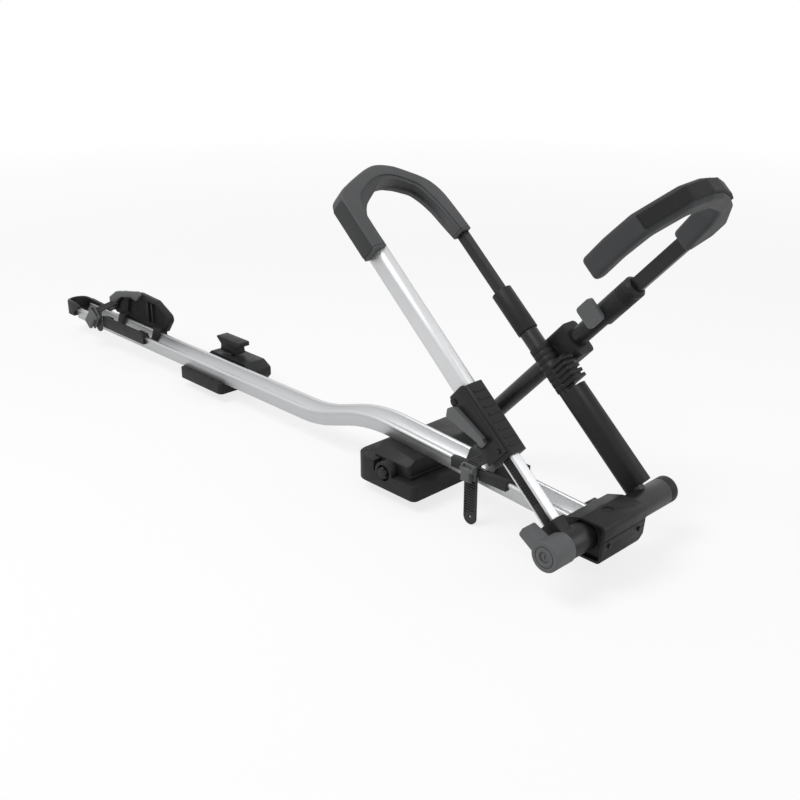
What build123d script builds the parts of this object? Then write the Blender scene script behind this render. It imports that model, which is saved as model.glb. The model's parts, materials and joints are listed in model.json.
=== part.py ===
"""Roof mounted bike carrier: wheel tray with two crossbar feet and two folding arms.

The origin is the centre of the front foot's underside, which rests on the crossbar.
X runs forward along the tray, Y to the far side, Z up. All lengths are millimetres.
"""
from build123d import *
from math import atan2, cos, degrees, hypot, radians, sin, tan
import os

# Clearances
seat_gap = 0.3
running_gap = 0.05
slide_gap = 0.5
overrun = 5.0

# Tray extrusion
tray_rear_x = -1153.0
tray_front_x = 368.0
tray_rear_z = 23.0
tray_front_z = 37.2
ramp_foot_x = -245.0
ramp_top_x = -100.0
ramp_top_z = 69.0
ramp_radius = 300.0
tray_height = 31.0
tray_base_half = 17.0
tray_flare_half = 21.5
tray_flare_z = 19.0
tray_floor_half = 8.0
tray_floor_z = 14.0
tray_wall = 2.2
bead_radius = 4.0
bead_centre_half = 21.0
slot_half = 4.2
slot_lip = 2.5
channel_half = 8.5
channel_top_z = 9.0
chamber_top_z = 22.0

# End cap at the rear of the tray
cap_length = 47.0
cap_wall = 3.0
cap_bottom_rise = 8.0
cap_rise = 10.0
cap_floor_rise = 14.0
cap_rim = 8.0
cap_corner_radius = 27.0
cap_far_arm = 93.0
cap_near_arm = 22.0
cap_arm_tip = 4.0

# Shaft and head housing
shaft_x = 400.0
shaft_z = 60.0
shaft_radius = 22.5
shaft_wall = 2.5
shaft_near_y = -94.0
shaft_far_y = 155.0
shaft_cap_length = 17.0
shaft_cap_round = 2.5
bush_wall = 3.0
bush_length = 12.0
head_near_y = -50.0
head_far_y = 55.0
head_bottom_z = 26.0
head_top_z = 90.0
head_split_z = 66.0
head_front_top_x = 442.0
head_front_bottom_x = 436.0
head_rear_x = 345.0
head_cover_rear_x = 352.0
head_crown_rear_x = 396.0
head_crown_drop = 9.0
head_wall = 4.0
head_recess = 9.0
head_seam_width = 1.5
head_seam_depth = 1.2
head_corner_radius = 9.0
head_chamfer = 14.0
head_dimple_radius = 9.0
head_dimple_depth = 2.0
head_screw_radius = 3.5
head_screw_depth = 1.5
head_screw_seat = 5.0
head_screw_inset = 15.0
head_screw_z = 54.0

# Shaft lock lever on the near end of the shaft
lever_near_y = -137.0
lever_hub_radius = 24.0
lever_paddle_reach = 52.0
lever_paddle_width = 26.0
lever_paddle_tip_width = 17.0
lever_paddle_angle = 28.0
lock_radius = 9.0
lock_length = 22.0
lock_recess = 2.0
keyway_width = 1.6
keyway_length = 8.0
keyway_depth = 3.0
lever_groove_radius = 17.0
lever_groove_width = 2.0
lever_groove_depth = 1.2
lever_spigot_length = 20.0

# First arm, near leg
arm_angle = 42.0
near_leg_y = -85.0
bar_depth = 26.0
bar_width = 18.0
bar_top_s = 470.0
bar_wall = 2.5
rack_width = 17.0
rack_depth = 4.5
rack_start_s = 73.0
rack_pitch = 4.5
rack_tooth = 2.0
rack_tip = 1.5
rack_top_margin = 6.0
rack_foot_s = 26.0
socket_start_s = 8.0
socket_end_s = 40.0
socket_wall = 3.0
upper_tube_depth = 37.0
upper_tube_width = 25.0
upper_tube_wall = 2.0
upper_tube_start_s = 254.0
upper_tube_end_s = 560.0
upper_tube_round = 10.0
collar_start_s = 150.0
collar_end_s = 274.0
collar_near_y = -104.0
collar_far_y = -66.0
collar_back_n = -25.0
collar_front_n = 23.5
collar_rib_count = 8
collar_rib_height = 1.2
collar_rib_width = 4.0
plate_start_s = 157.0
plate_end_s = 277.0
plate_thickness = 5.0
plate_low_n = -24.0
plate_waist_n = -15.0
plate_waist_s = 206.0
plate_tab_s = 266.0
plate_tab_n = -11.0
plate_tab_radius = 9.0
plate_high_n = 20.0
collar_screw_radius = 4.0
collar_edge_radius = 7.0
collar_screw_inset = 8.0
collar_screw_n = 10.0

# Release lever and ratchet pawl in the collar
release_pivot_s = 188.0
release_tip_s = 257.0
release_tip_width = 26.0
release_root_width = 13.0
release_thickness = 8.0
release_tilt = 20.0
release_pin_radius = 2.5
release_ear = 4.5
release_centre_n = -3.0
release_tip_round = 8.0
pawl_pivot_s = 232.0
pawl_tip_s = 206.0
pawl_width = 10.0
pawl_thickness = 6.0
pawl_pin_radius = 2.0
pawl_nose = 3.0

# Hoop head
hoop_half_width = 109.0
hoop_start_s = 519.0
hoop_end_s = 674.0
hoop_half_depth = 24.0
hoop_back_depth = 21.0
hoop_far_half_depth = 16.0
hoop_far_back_depth = 12.0
hoop_lean = 9.0
hoop_edge_radius = 5.0
hoop_corner_radius = 12.0
hoop_taper_share = 0.3
hoop_slim_end_s = 535.0
hoop_panel_thickness = 2.0
hoop_panel_half_depth = 19.0
hoop_outer_shares = (
    (-1.00, 0.00), (-1.00, 0.70), (-0.54, 0.85), (-0.12, 1.00), (0.14, 0.99),
    (0.54, 0.86), (0.85, 0.73), (1.00, 0.53), (1.09, -0.04),
)
hoop_inner_shares = (
    (0.90, -0.14), (0.87, -0.04), (0.74, 0.36), (0.71, 0.55), (0.57, 0.68), (0.34, 0.775), (0.06, 0.84),
    (-0.10, 0.84), (-0.32, 0.78), (-0.59, 0.655), (-0.68, 0.56), (-0.69, 0.35), (-0.62, 0.00),
    (-0.60, -0.14),
)

# First arm, far leg
far_leg_y = 107.0
far_tube_radius = 15.5
far_tube_wall = 2.0
far_tube_end_s = 402.0
guard_start_s = 24.0
guard_end_s = 208.0
guard_reach = 35.0
guard_wall = 2.5
collar_ring_start_s = 215.0
collar_ring_end_s = 298.0
collar_ring_radius = 17.0
ring_count = 7
ring_depth = 0.8
ring_width = 2.2
fin_start_s = 205.0
fin_end_s = 252.0
fin_reach = 40.0
fin_thickness = 5.0
fin_count = 5
coupling_start_s = 330.0
coupling_end_s = 415.0
coupling_radius = 18.0
slim_bar_depth = 18.5
slim_bar_width = 13.0
slim_bar_start_s = 150.0

# Second arm
pivot_x = 3.5
pivot_z = 41.5
cross_s = 276.5
swing_y = 148.0
swing_tube_radius = 16.0
swing_tube_wall = 2.0
swing_tube_start = -12.0
swing_tube_end = 410.0
pivot_eye_radius = 15.0
plug_flange = 3.0
size_sleeve_start = 393.0
size_sleeve_end = 475.0
size_sleeve_radius = 19.0
size_ring_count = 4
size_ring_start = 16.0
button_start = 372.0
button_end = 407.0
button_low_n = -10.0
button_high_n = 30.0
button_cap_thickness = 9.0
button_pin_radius = 3.0
button_corner_radius = 6.0
hook_bar_depth = 23.0
hook_bar_width = 13.0
hook_bar_wall = 2.0
hook_bar_start = 330.0
hook_bar_insert = 62.0
hook_half_band = 17.0
hook_pad_thickness = 5.0
hook_edge_radius = 6.0
hook_clear = 103.0
hook_rise = 164.0
hook_outer_y = 163.0
hook_tip_y = -96.0
hook_round = 11.0
hook_pad_half = 10.5
hook_pad_start_share = 0.42
hook_pad_low_share = -0.52
hook_pad_high_share = 0.62
hook_outer_shares = (
    (1.00, 0.24), (0.98, 0.44), (0.68, 0.74), (0.47, 0.87), (0.25, 0.97), (0.05, 1.00),
    (-0.20, 0.96), (-0.54, 0.68), (-0.595, 0.38), (-0.577, 0.06),
)
hook_inner_shares = (
    (-0.436, 0.085), (-0.442, 0.38), (-0.368, 0.62), (-0.12, 0.79), (0.18, 0.817), (0.52, 0.68),
    (0.644, 0.47), (0.742, 0.12), (0.79, 0.00),
)

# Cross block
cross_near_y = 127.5
cross_far_y = 165.5
cross_half_width = 30.0
cross_below = 30.0
cross_above = 46.0
cross_corner_radius = 8.0
cross_pivot_radius = 10.0
cross_boss_near_y = 124.3
cross_pin_end_y = 131.0
cross_flange_width = 32.5
cross_flange_thickness = 5.0

# Front foot
foot_length = 150.0
foot_width = 150.0
foot_base_height = 27.0
foot_shoulder_height = 46.0
foot_corner_radius = 28.0
foot_small_radius = 10.0
foot_boss_radius = 20.0
foot_knob_z = 30.0
foot_knob_radius = 11.5
foot_knob_length = 22.0
foot_screw_radius = 4.0
foot_shoulder_front_x = -24.0
knob_moat = 3.0
knob_stand_out = 4.0
knob_flute_radius = 2.5
knob_flute_count = 6
foot_wedge_rear_x = -42.0
foot_wedge_front_x = 46.0
foot_wedge_near_y = -58.0
foot_wedge_eave_z = 49.0
foot_wedge_ridge_y = -30.0
foot_ledge = 5.0
foot_ledge_height = 6.0
foot_wedge_far_y = 44.0
bracket_far_y = 130.0
bracket_near_y = 45.0
bracket_top_z = 65.0
bracket_rear_x = -76.0
bracket_front_x = 62.0
bracket_low_z = 14.0
bracket_round = 20.0
bracket_crown_share = 0.5
tbolt_radius = 3.5
tbolt_head_half = 8.0
tbolt_head_height = 4.5

# Clamp claws under both feet
claw_width = 30.0
claw_pivot_x = 62.0
claw_pivot_z = 13.0
claw_reach = 40.0
claw_thickness = 6.0
claw_hook = 12.0
claw_pin_radius = 3.0
claw_eye_radius = 7.0

# Rear foot
rear_foot_x = -620.0
rear_foot_length = 150.0
rear_foot_near_y = -28.0
rear_foot_far_y = 88.0
rear_nose_share = 1.3
rear_shelf_share = 0.6
rear_side_y = 36.0
rear_shelf_z = 52.0
rear_hump_z = 40.0
rear_knob_y = 62.0
rear_knob_base_z = 55.5
rear_knob_top_z = 86.0
rear_knob_long = 86.0
rear_knob_wide = 26.0
rear_knob_foot_share = 0.62
rear_knob_waist_share = 0.56
rear_knob_waist_z = 70.0
rear_knob_wing = 9.0
rear_claw_pivot_x = 58.0

# Front wheel saddle and strap
saddle_rear_x = 116.0
saddle_front_x = 235.0
saddle_gap_rear_x = 149.0
saddle_gap_front_x = 177.0
saddle_wall = 5.0
saddle_far_rise = 14.0
saddle_skirt_share = 0.6
strap_width = 27.0
strap_thickness = 3.0
strap_tail_low_z = -20.0
strap_lift = 3.0
strap_bend = 8.0
rung_pitch = 4.0
rung_gap = 1.6
rung_depth = 0.9
strap_hole_radius = 2.5
front_buckle_length = 26.0
front_buckle_width = 27.0
rear_buckle_length = 46.0
rear_buckle_width = 34.0
rear_buckle_tilt = 40.0
buckle_pin_radius = 2.0
buckle_ear = 4.0
buckle_pin_height = 8.6

# Rear wheel holder
holder_rear_x = -1010.0
holder_front_x = -790.0
holder_skirt_front_x = -835.0
holder_wall = 5.0
holder_floor = 2.5
holder_skirt_low_z = 38.0
holder_skirt_top_z = 65.0
holder_arch_top_z = 124.0
holder_band = 26.0
holder_far_thickness = 9.0
holder_rib_count = 2
holder_panel = 3.0
holder_round = 12.0
holder_rib_share = 0.8
holder_rib_pitch = 18.0
arch_outer_shares = (
    (-0.17, 0.03), (-0.17, 0.60), (0.02, 0.86), (0.40, 1.05), (0.72, 1.00), (0.98, 0.60),
    (0.84, 0.03),
)
arch_window_shares = (
    (0.10, 0.15), (0.14, 0.66), (0.42, 0.88), (0.68, 0.84), (0.86, 0.56), (0.80, 0.15),
)
grip_shares = (
    (-0.19, 0.12), (-0.19, 0.55), (-0.04, 0.84), (0.38, 1.10), (0.44, 1.00), (0.36, 0.78), (0.26, 0.84),
    (0.04, 0.70), (-0.08, 0.42), (-0.11, 0.14),
)
front_buckle_x = 163.0
front_buckle_z = 90.0
rear_buckle_x = -1023.0
rear_buckle_z = 74.0
buckle_out = 0.6

# Derived places
hook_foot = size_sleeve_end + hook_clear
hook_height = hook_foot + hook_rise
hook_bar_end = hook_foot + hook_bar_insert
arm_turn = radians(arm_angle)
cross_x = shaft_x - cross_s * cos(arm_turn)
cross_z = shaft_z + cross_s * sin(arm_turn)
swing_angle = degrees(atan2(cross_z - pivot_z, cross_x - pivot_x))
cross_t = hypot(cross_z - pivot_z, cross_x - pivot_x)
arm_frame = Pos(shaft_x, 0, shaft_z) * Rot(0, arm_angle, 0)
swing_frame = Pos(pivot_x, 0, pivot_z) * Rot(0, -swing_angle, 0)
front_slope = (tray_front_z - ramp_top_z) / (tray_front_x - ramp_top_x)
tray_half = bead_centre_half + bead_radius


def tray_z(x):
    """Height of the tray's underside over x, on its front run."""
    return ramp_top_z + front_slope * (x - ramp_top_x)


def block(x0, x1, y0, y1, z0, z1):
    """Box between two corners."""
    corner = (Align.MIN, Align.MIN, Align.MIN)
    return Pos(x0, y0, z0) * Box(x1 - x0, y1 - y0, z1 - z0, align=corner)


def leg_block(s0, s1, y0, y1, n0, n1):
    """Box along an arm's leg, s being the distance from the shaft."""
    return block(-s1, -s0, y0, y1, n0, n1)


def rod(radius, start, end):
    """Cylinder from one point to another."""
    run = Vector(*end) - Vector(*start)
    seat = (Align.CENTER, Align.CENTER, Align.MIN)
    return Plane(origin=start, z_dir=run) * Cylinder(radius, run.length, align=seat)


def outline(points, radius=0):
    """Closed face through the points, with its corners rounded."""
    if radius:
        return make_face(FilletPolyline(*points, radius=radius, close=True))
    return make_face(Polyline(*points, close=True))


def prism_y(points, y0, y1, radius=0):
    """Outline in X and Z, extruded from y0 to y1."""
    plane = Plane(origin=(0, y1, 0), x_dir=(1, 0, 0), z_dir=(0, -1, 0))
    return extrude(plane * outline(points, radius), y1 - y0)


def prism_z(points, z0, z1, radius=0):
    """Outline in X and Y, extruded from z0 to z1."""
    return extrude(Pos(0, 0, z0) * outline(points, radius), z1 - z0)


def prism_x(points, x0, x1, radius=0):
    """Outline in Y and Z, extruded from x0 to x1."""
    plane = Plane(origin=(x0, 0, 0), x_dir=(0, 1, 0), z_dir=(1, 0, 0))
    return extrude(plane * outline(points, radius), x1 - x0)


def rounded_bar(width, depth, x0, x1, y, rounding):
    """Bar along X with a rounded rectangular section, centred on y and z = 0."""
    plane = Plane(origin=(x0, y, 0), x_dir=(0, 1, 0), z_dir=(1, 0, 0))
    return extrude(plane * RectangleRounded(width, depth, rounding), x1 - x0)


def tube(width, depth, wall, x0, x1, y, rounding):
    """Rounded rectangular tube along X."""
    bore = rounded_bar(width - wall - wall, depth - wall - wall, x0 - overrun, x1 + overrun, y,
                       rounding - wall)
    return rounded_bar(width, depth, x0, x1, y, rounding) - bore


def ring_y(outer, inner, y0, y1, x=0, z=0):
    """Ring about an axis along Y."""
    body = rod(outer, (x, y0, z), (x, y1, z))
    return body - rod(inner, (x, y0 - overrun, z), (x, y1 + overrun, z))


def ring_x(outer, inner, x0, x1, y, z=0):
    """Ring about an axis along X."""
    body = rod(outer, (x0, y, z), (x1, y, z))
    return body - rod(inner, (x0 - overrun, y, z), (x1 + overrun, y, z))


nodes = {}


def keep(name, shape):
    """Store one sub-part under its node name."""
    nodes[name] = shape
    return shape


def tray_section():
    """Open channel with beaded rims, hollow side walls and a T-slot under the floor."""
    bead_z = tray_height - bead_radius
    rim_half = bead_centre_half - bead_radius / 2
    right = [
        (tray_base_half, 0),
        (tray_flare_half, tray_flare_z),
        (bead_centre_half + bead_radius / 2, bead_z),
        (rim_half, tray_height - bead_radius / 4),
        (tray_floor_half, tray_floor_z),
    ]
    left = [(-y, z) for y, z in reversed(right)]
    section = outline(right + left)
    chamber = offset(outline(right + [(channel_half, tray_floor_z), (channel_half, 0)]), -tray_wall)
    limit = Pos(0, chamber_top_z / 2) * Rectangle(tray_half + tray_half, chamber_top_z)
    chamber = chamber & limit
    for side in (-1, 1):
        section += Pos(side * bead_centre_half, bead_z) * Circle(bead_radius)
    section -= chamber
    section -= mirror(chamber, Plane.YZ)
    section -= Pos(0, slot_lip / 2) * Rectangle(slot_half + slot_half, slot_lip + slot_lip)
    channel_height = channel_top_z - slot_lip
    section -= Pos(0, slot_lip + channel_height / 2) * Rectangle(2 * channel_half, channel_height)
    return section


def make_tray():
    path = FilletPolyline(
        (tray_rear_x, 0, tray_rear_z),
        (ramp_foot_x, 0, tray_rear_z),
        (ramp_top_x, 0, ramp_top_z),
        (tray_front_x, 0, tray_front_z),
        radius=ramp_radius,
    )
    start = Plane(origin=(tray_rear_x, 0, tray_rear_z), x_dir=(0, 1, 0), z_dir=(1, 0, 0))
    return sweep(start * tray_section(), path=path)


def make_end_cap():
    """Horseshoe cap with a scooped mouth, a long far arm and a short near arm on the rims."""
    half = tray_half + cap_wall
    rear = tray_rear_x - cap_length
    rim_z = tray_rear_z + tray_height
    plan = [(tray_rear_x, -half), (tray_rear_x, half), (rear, half), (rear, -half)]
    body = prism_z(plan, tray_rear_z + cap_bottom_rise, rim_z + cap_rise)
    upright = body.edges().filter_by(Axis.Z).sort_by(Axis.X)[:2]
    body = fillet(upright, cap_corner_radius)
    body = fillet(body.faces().sort_by(Axis.Z)[-1].edges().sort_by(Axis.X)[:3], cap_wall)
    mouth = block(rear + cap_rim, tray_rear_x + overrun, cap_rim - half, half - cap_rim,
                  tray_rear_z + cap_floor_rise, rim_z + cap_rise + overrun)
    mouth = fillet(mouth.edges().filter_by(Axis.Z).sort_by(Axis.X)[:2], cap_corner_radius - cap_rim)
    body -= mouth
    seat_z = rim_z + seat_gap
    for side, reach in ((1, cap_far_arm), (-1, cap_near_arm)):
        tip_x = tray_rear_x + reach
        arm = [(tray_rear_x, seat_z), (tip_x, seat_z), (tip_x, seat_z + cap_arm_tip),
               (tray_rear_x, rim_z + cap_rise)]
        inner = side * (half - cap_rim)
        outer = side * half
        body += prism_y(arm, min(inner, outer), max(inner, outer))
        wall = side * (tray_half + seat_gap)
        skirt = [(tray_rear_x, rim_z - cap_floor_rise), (tip_x, seat_z), (tip_x, seat_z + cap_arm_tip),
                 (tray_rear_x, seat_z + cap_arm_tip)]
        body += prism_y(skirt, min(wall, outer), max(wall, outer))
    return body


def head_front_x(z):
    """X of the housing's sloping front face at height z."""
    share = (z - head_bottom_z) / (head_top_z - head_bottom_z)
    return head_front_bottom_x + share * (head_front_top_x - head_front_bottom_x)


def make_head():
    width_corner = head_corner_radius
    split_x = head_front_x(head_split_z)
    lower = [
        (head_rear_x, head_split_z),
        (head_rear_x, head_bottom_z + head_chamfer),
        (head_rear_x + head_chamfer, head_bottom_z),
        (head_front_bottom_x, head_bottom_z),
        (split_x, head_split_z),
    ]
    housing = prism_y(lower, head_near_y, head_far_y)
    front_edges = housing.edges().filter_by(Axis.Y).group_by(Axis.Z)[0].sort_by(Axis.X)[-1:]
    housing = fillet(front_edges, width_corner)
    corner = [
        (head_far_y + overrun, head_bottom_z - overrun),
        (head_far_y - head_chamfer - overrun, head_bottom_z - overrun),
        (head_far_y + overrun, head_bottom_z + head_chamfer + overrun),
    ]
    housing -= prism_x(corner, head_rear_x - overrun, head_front_top_x + overrun)
    upper = [
        (head_cover_rear_x, head_split_z),
        (split_x, head_split_z),
        (head_front_top_x, head_top_z),
        (head_crown_rear_x, head_top_z),
        (head_crown_rear_x - head_chamfer - head_chamfer, head_top_z - head_crown_drop),
    ]
    cover = prism_y(upper, head_near_y, head_far_y)
    crown = cover.edges().filter_by(Axis.Y).filter_by_position(Axis.Z, head_split_z + seat_gap, head_top_z)
    cover = fillet(crown, width_corner)
    bore_radius = shaft_radius + bush_wall
    bore = rod(bore_radius, (shaft_x, head_near_y - overrun, shaft_z),
               (shaft_x, head_far_y + overrun, shaft_z))
    half = tray_half + seat_gap
    pocket_rear = head_rear_x - overrun
    pocket_front = tray_front_x - front_slope * tray_height + seat_gap
    pocket = prism_y(
        [(pocket_rear, tray_z(pocket_rear) - seat_gap), (pocket_front, tray_z(pocket_front) - seat_gap),
         (pocket_front, tray_z(pocket_front) + tray_height + seat_gap),
         (pocket_rear, tray_z(pocket_rear) + tray_height + seat_gap)],
        -half, half)
    recess = prism_y(
        [(head_rear_x + head_wall, head_bottom_z + head_chamfer), (head_rear_x + head_chamfer + head_wall,
         head_bottom_z + head_wall), (head_front_bottom_x - head_wall, head_bottom_z + head_wall),
         (head_front_top_x - head_wall - head_wall, head_top_z - head_wall),
         (head_crown_rear_x, head_top_z - head_wall), (head_cover_rear_x + head_wall, head_split_z)],
        head_near_y - overrun, head_near_y + head_recess, head_wall)
    housing = housing - bore - pocket - recess
    cover = cover - bore - pocket - recess
    housing -= block(split_x - head_seam_depth, split_x + overrun, head_near_y - overrun,
                     head_far_y + overrun, head_split_z - head_seam_width, head_split_z)
    dimple_x = shaft_x + head_dimple_radius
    dimple = rod(head_dimple_radius, (dimple_x, 0, head_top_z - head_dimple_depth),
                 (dimple_x, 0, head_top_z + overrun))
    cover -= dimple
    rings = []
    for start in (head_near_y + head_recess, head_far_y - bush_length):
        rings.append(ring_y(bore_radius, shaft_radius + running_gap, start, start + bush_length,
                            shaft_x, shaft_z))
    screws = []
    for y in (head_near_y + head_screw_inset, head_far_y - head_screw_inset):
        seat = (split_x - head_screw_seat, y, head_screw_z)
        screw = rod(head_screw_radius, seat, (split_x + head_screw_depth, y, head_screw_z))
        housing -= screw
        cover -= screw
        screws.append(screw)
    keep("head_housing", housing)
    keep("head_cover", cover)
    keep("shaft_bushes", Compound(rings))
    keep("head_screws", Compound(screws))


def make_shaft():
    """Steel shaft that carries both legs, its far cap, the lock lever and its cylinder."""
    near = (shaft_x, shaft_near_y, shaft_z)
    far = (shaft_x, shaft_far_y, shaft_z)
    inner = shaft_radius - shaft_wall
    keep("shaft_tube", ring_y(shaft_radius, inner, shaft_near_y, shaft_far_y, shaft_x, shaft_z))
    cap_end = shaft_far_y + shaft_cap_length
    cap = rod(shaft_radius, far, (shaft_x, cap_end, shaft_z))
    cap = fillet(cap.edges().sort_by(Axis.Y)[-1:], shaft_cap_round)
    cap += rod(inner, (shaft_x, shaft_far_y - shaft_cap_length, shaft_z), far)
    keep("shaft_end_cap", cap)

    face_y = lever_near_y
    hub = rod(lever_hub_radius, (shaft_x, face_y, shaft_z), near)
    hub = fillet(hub.edges().sort_by(Axis.Y)[:1], lever_groove_width)
    paddle_root = lever_paddle_width / 2
    paddle_tip = lever_paddle_tip_width / 2
    paddle = prism_y(
        [(0, -paddle_root), (0, paddle_root), (-lever_paddle_reach, paddle_tip),
         (-lever_paddle_reach, -paddle_tip)],
        face_y + lever_groove_width, shaft_near_y - shaft_cap_length)
    paddle = fillet(paddle.edges().filter_by(Axis.Y).sort_by(Axis.X)[:2], paddle_tip / 2)
    paddle = Pos(shaft_x, 0, shaft_z) * Rot(0, lever_paddle_angle, 0) * paddle
    spigot = rod(inner - running_gap, near, (shaft_x, shaft_near_y + lever_spigot_length, shaft_z))
    groove_end = face_y + lever_groove_depth
    groove = ring_y(lever_groove_radius, lever_groove_radius - lever_groove_width,
                    face_y - overrun, groove_end, shaft_x, shaft_z)
    bore = rod(lock_radius + running_gap, (shaft_x, face_y - overrun, shaft_z),
               (shaft_x, face_y + lock_recess + lock_length, shaft_z))
    keep("lock_lever", hub + paddle + spigot - groove - bore)
    lock_face = face_y + lock_recess
    cylinder = rod(lock_radius, (shaft_x, lock_face, shaft_z),
                   (shaft_x, lock_face + lock_length, shaft_z))
    half = keyway_width / 2
    cylinder -= block(shaft_x - half, shaft_x + half, lock_face - overrun, lock_face + keyway_depth,
                      shaft_z - keyway_length / 2, shaft_z + keyway_length / 2)
    keep("lock_cylinder", cylinder)


def shaft_cut():
    """The shaft's outside in the arm's flat frame, for saddling the legs on it."""
    return rod(shaft_radius, (0, shaft_near_y - overrun, 0), (0, shaft_far_y + overrun, 0))


def rack_outline(near_y, back_y, start_s, end_s):
    """Saw teeth along s on the near side of a strip."""
    points = [(-start_s, back_y), (-start_s, near_y), (-rack_start_s, near_y)]
    s = rack_start_s
    while s + rack_pitch < end_s:
        points.append((-s, near_y + rack_tooth))
        points.append((-s - rack_pitch + rack_tip, near_y))
        points.append((-s - rack_pitch, near_y))
        s += rack_pitch
    points.append((-end_s, near_y))
    points.append((-end_s, back_y))
    return points


def make_near_leg():
    """Lower bar with its ratchet rack, the socket at its foot and the tube that slides on it."""
    low = near_leg_y - bar_width / 2
    high = near_leg_y + bar_width / 2
    half = bar_depth / 2
    bar = leg_block(0, bar_top_s, low, high, -half, half)
    bar = fillet(bar.edges().filter_by(Axis.X), bar_wall)
    groove_floor = low + rack_depth
    rack_end = bar_top_s - rack_top_margin
    half_rack = rack_width / 2
    bar -= leg_block(rack_foot_s, rack_end, low - overrun, groove_floor, -half_rack, half_rack)
    bar -= leg_block(socket_end_s, bar_top_s - bar_wall, groove_floor + bar_wall, high - bar_wall,
                     bar_wall - half, half - bar_wall)
    bar -= shaft_cut()
    keep("near_lower_bar", arm_frame * bar)
    teeth = rack_outline(low + seat_gap, groove_floor, rack_foot_s, rack_end)
    keep("ratchet_rack", arm_frame * prism_z(teeth, -half_rack, half_rack))
    socket = leg_block(socket_start_s, socket_end_s, low - socket_wall, high + socket_wall,
                       -half - socket_wall, half + socket_wall)
    socket = fillet(socket.edges().filter_by(Axis.X), socket_wall)
    socket -= leg_block(0, bar_top_s, low, high, -half, half)
    socket -= shaft_cut()
    socket -= rod(lever_hub_radius + seat_gap, (0, shaft_near_y - lever_hub_radius, 0),
                  (0, shaft_near_y + seat_gap, 0))
    keep("bar_socket", arm_frame * socket)
    upper = tube(upper_tube_width, upper_tube_depth, upper_tube_wall,
                 -upper_tube_end_s, -upper_tube_start_s, near_leg_y, upper_tube_round)
    keep("near_upper_tube", arm_frame * upper)


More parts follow.
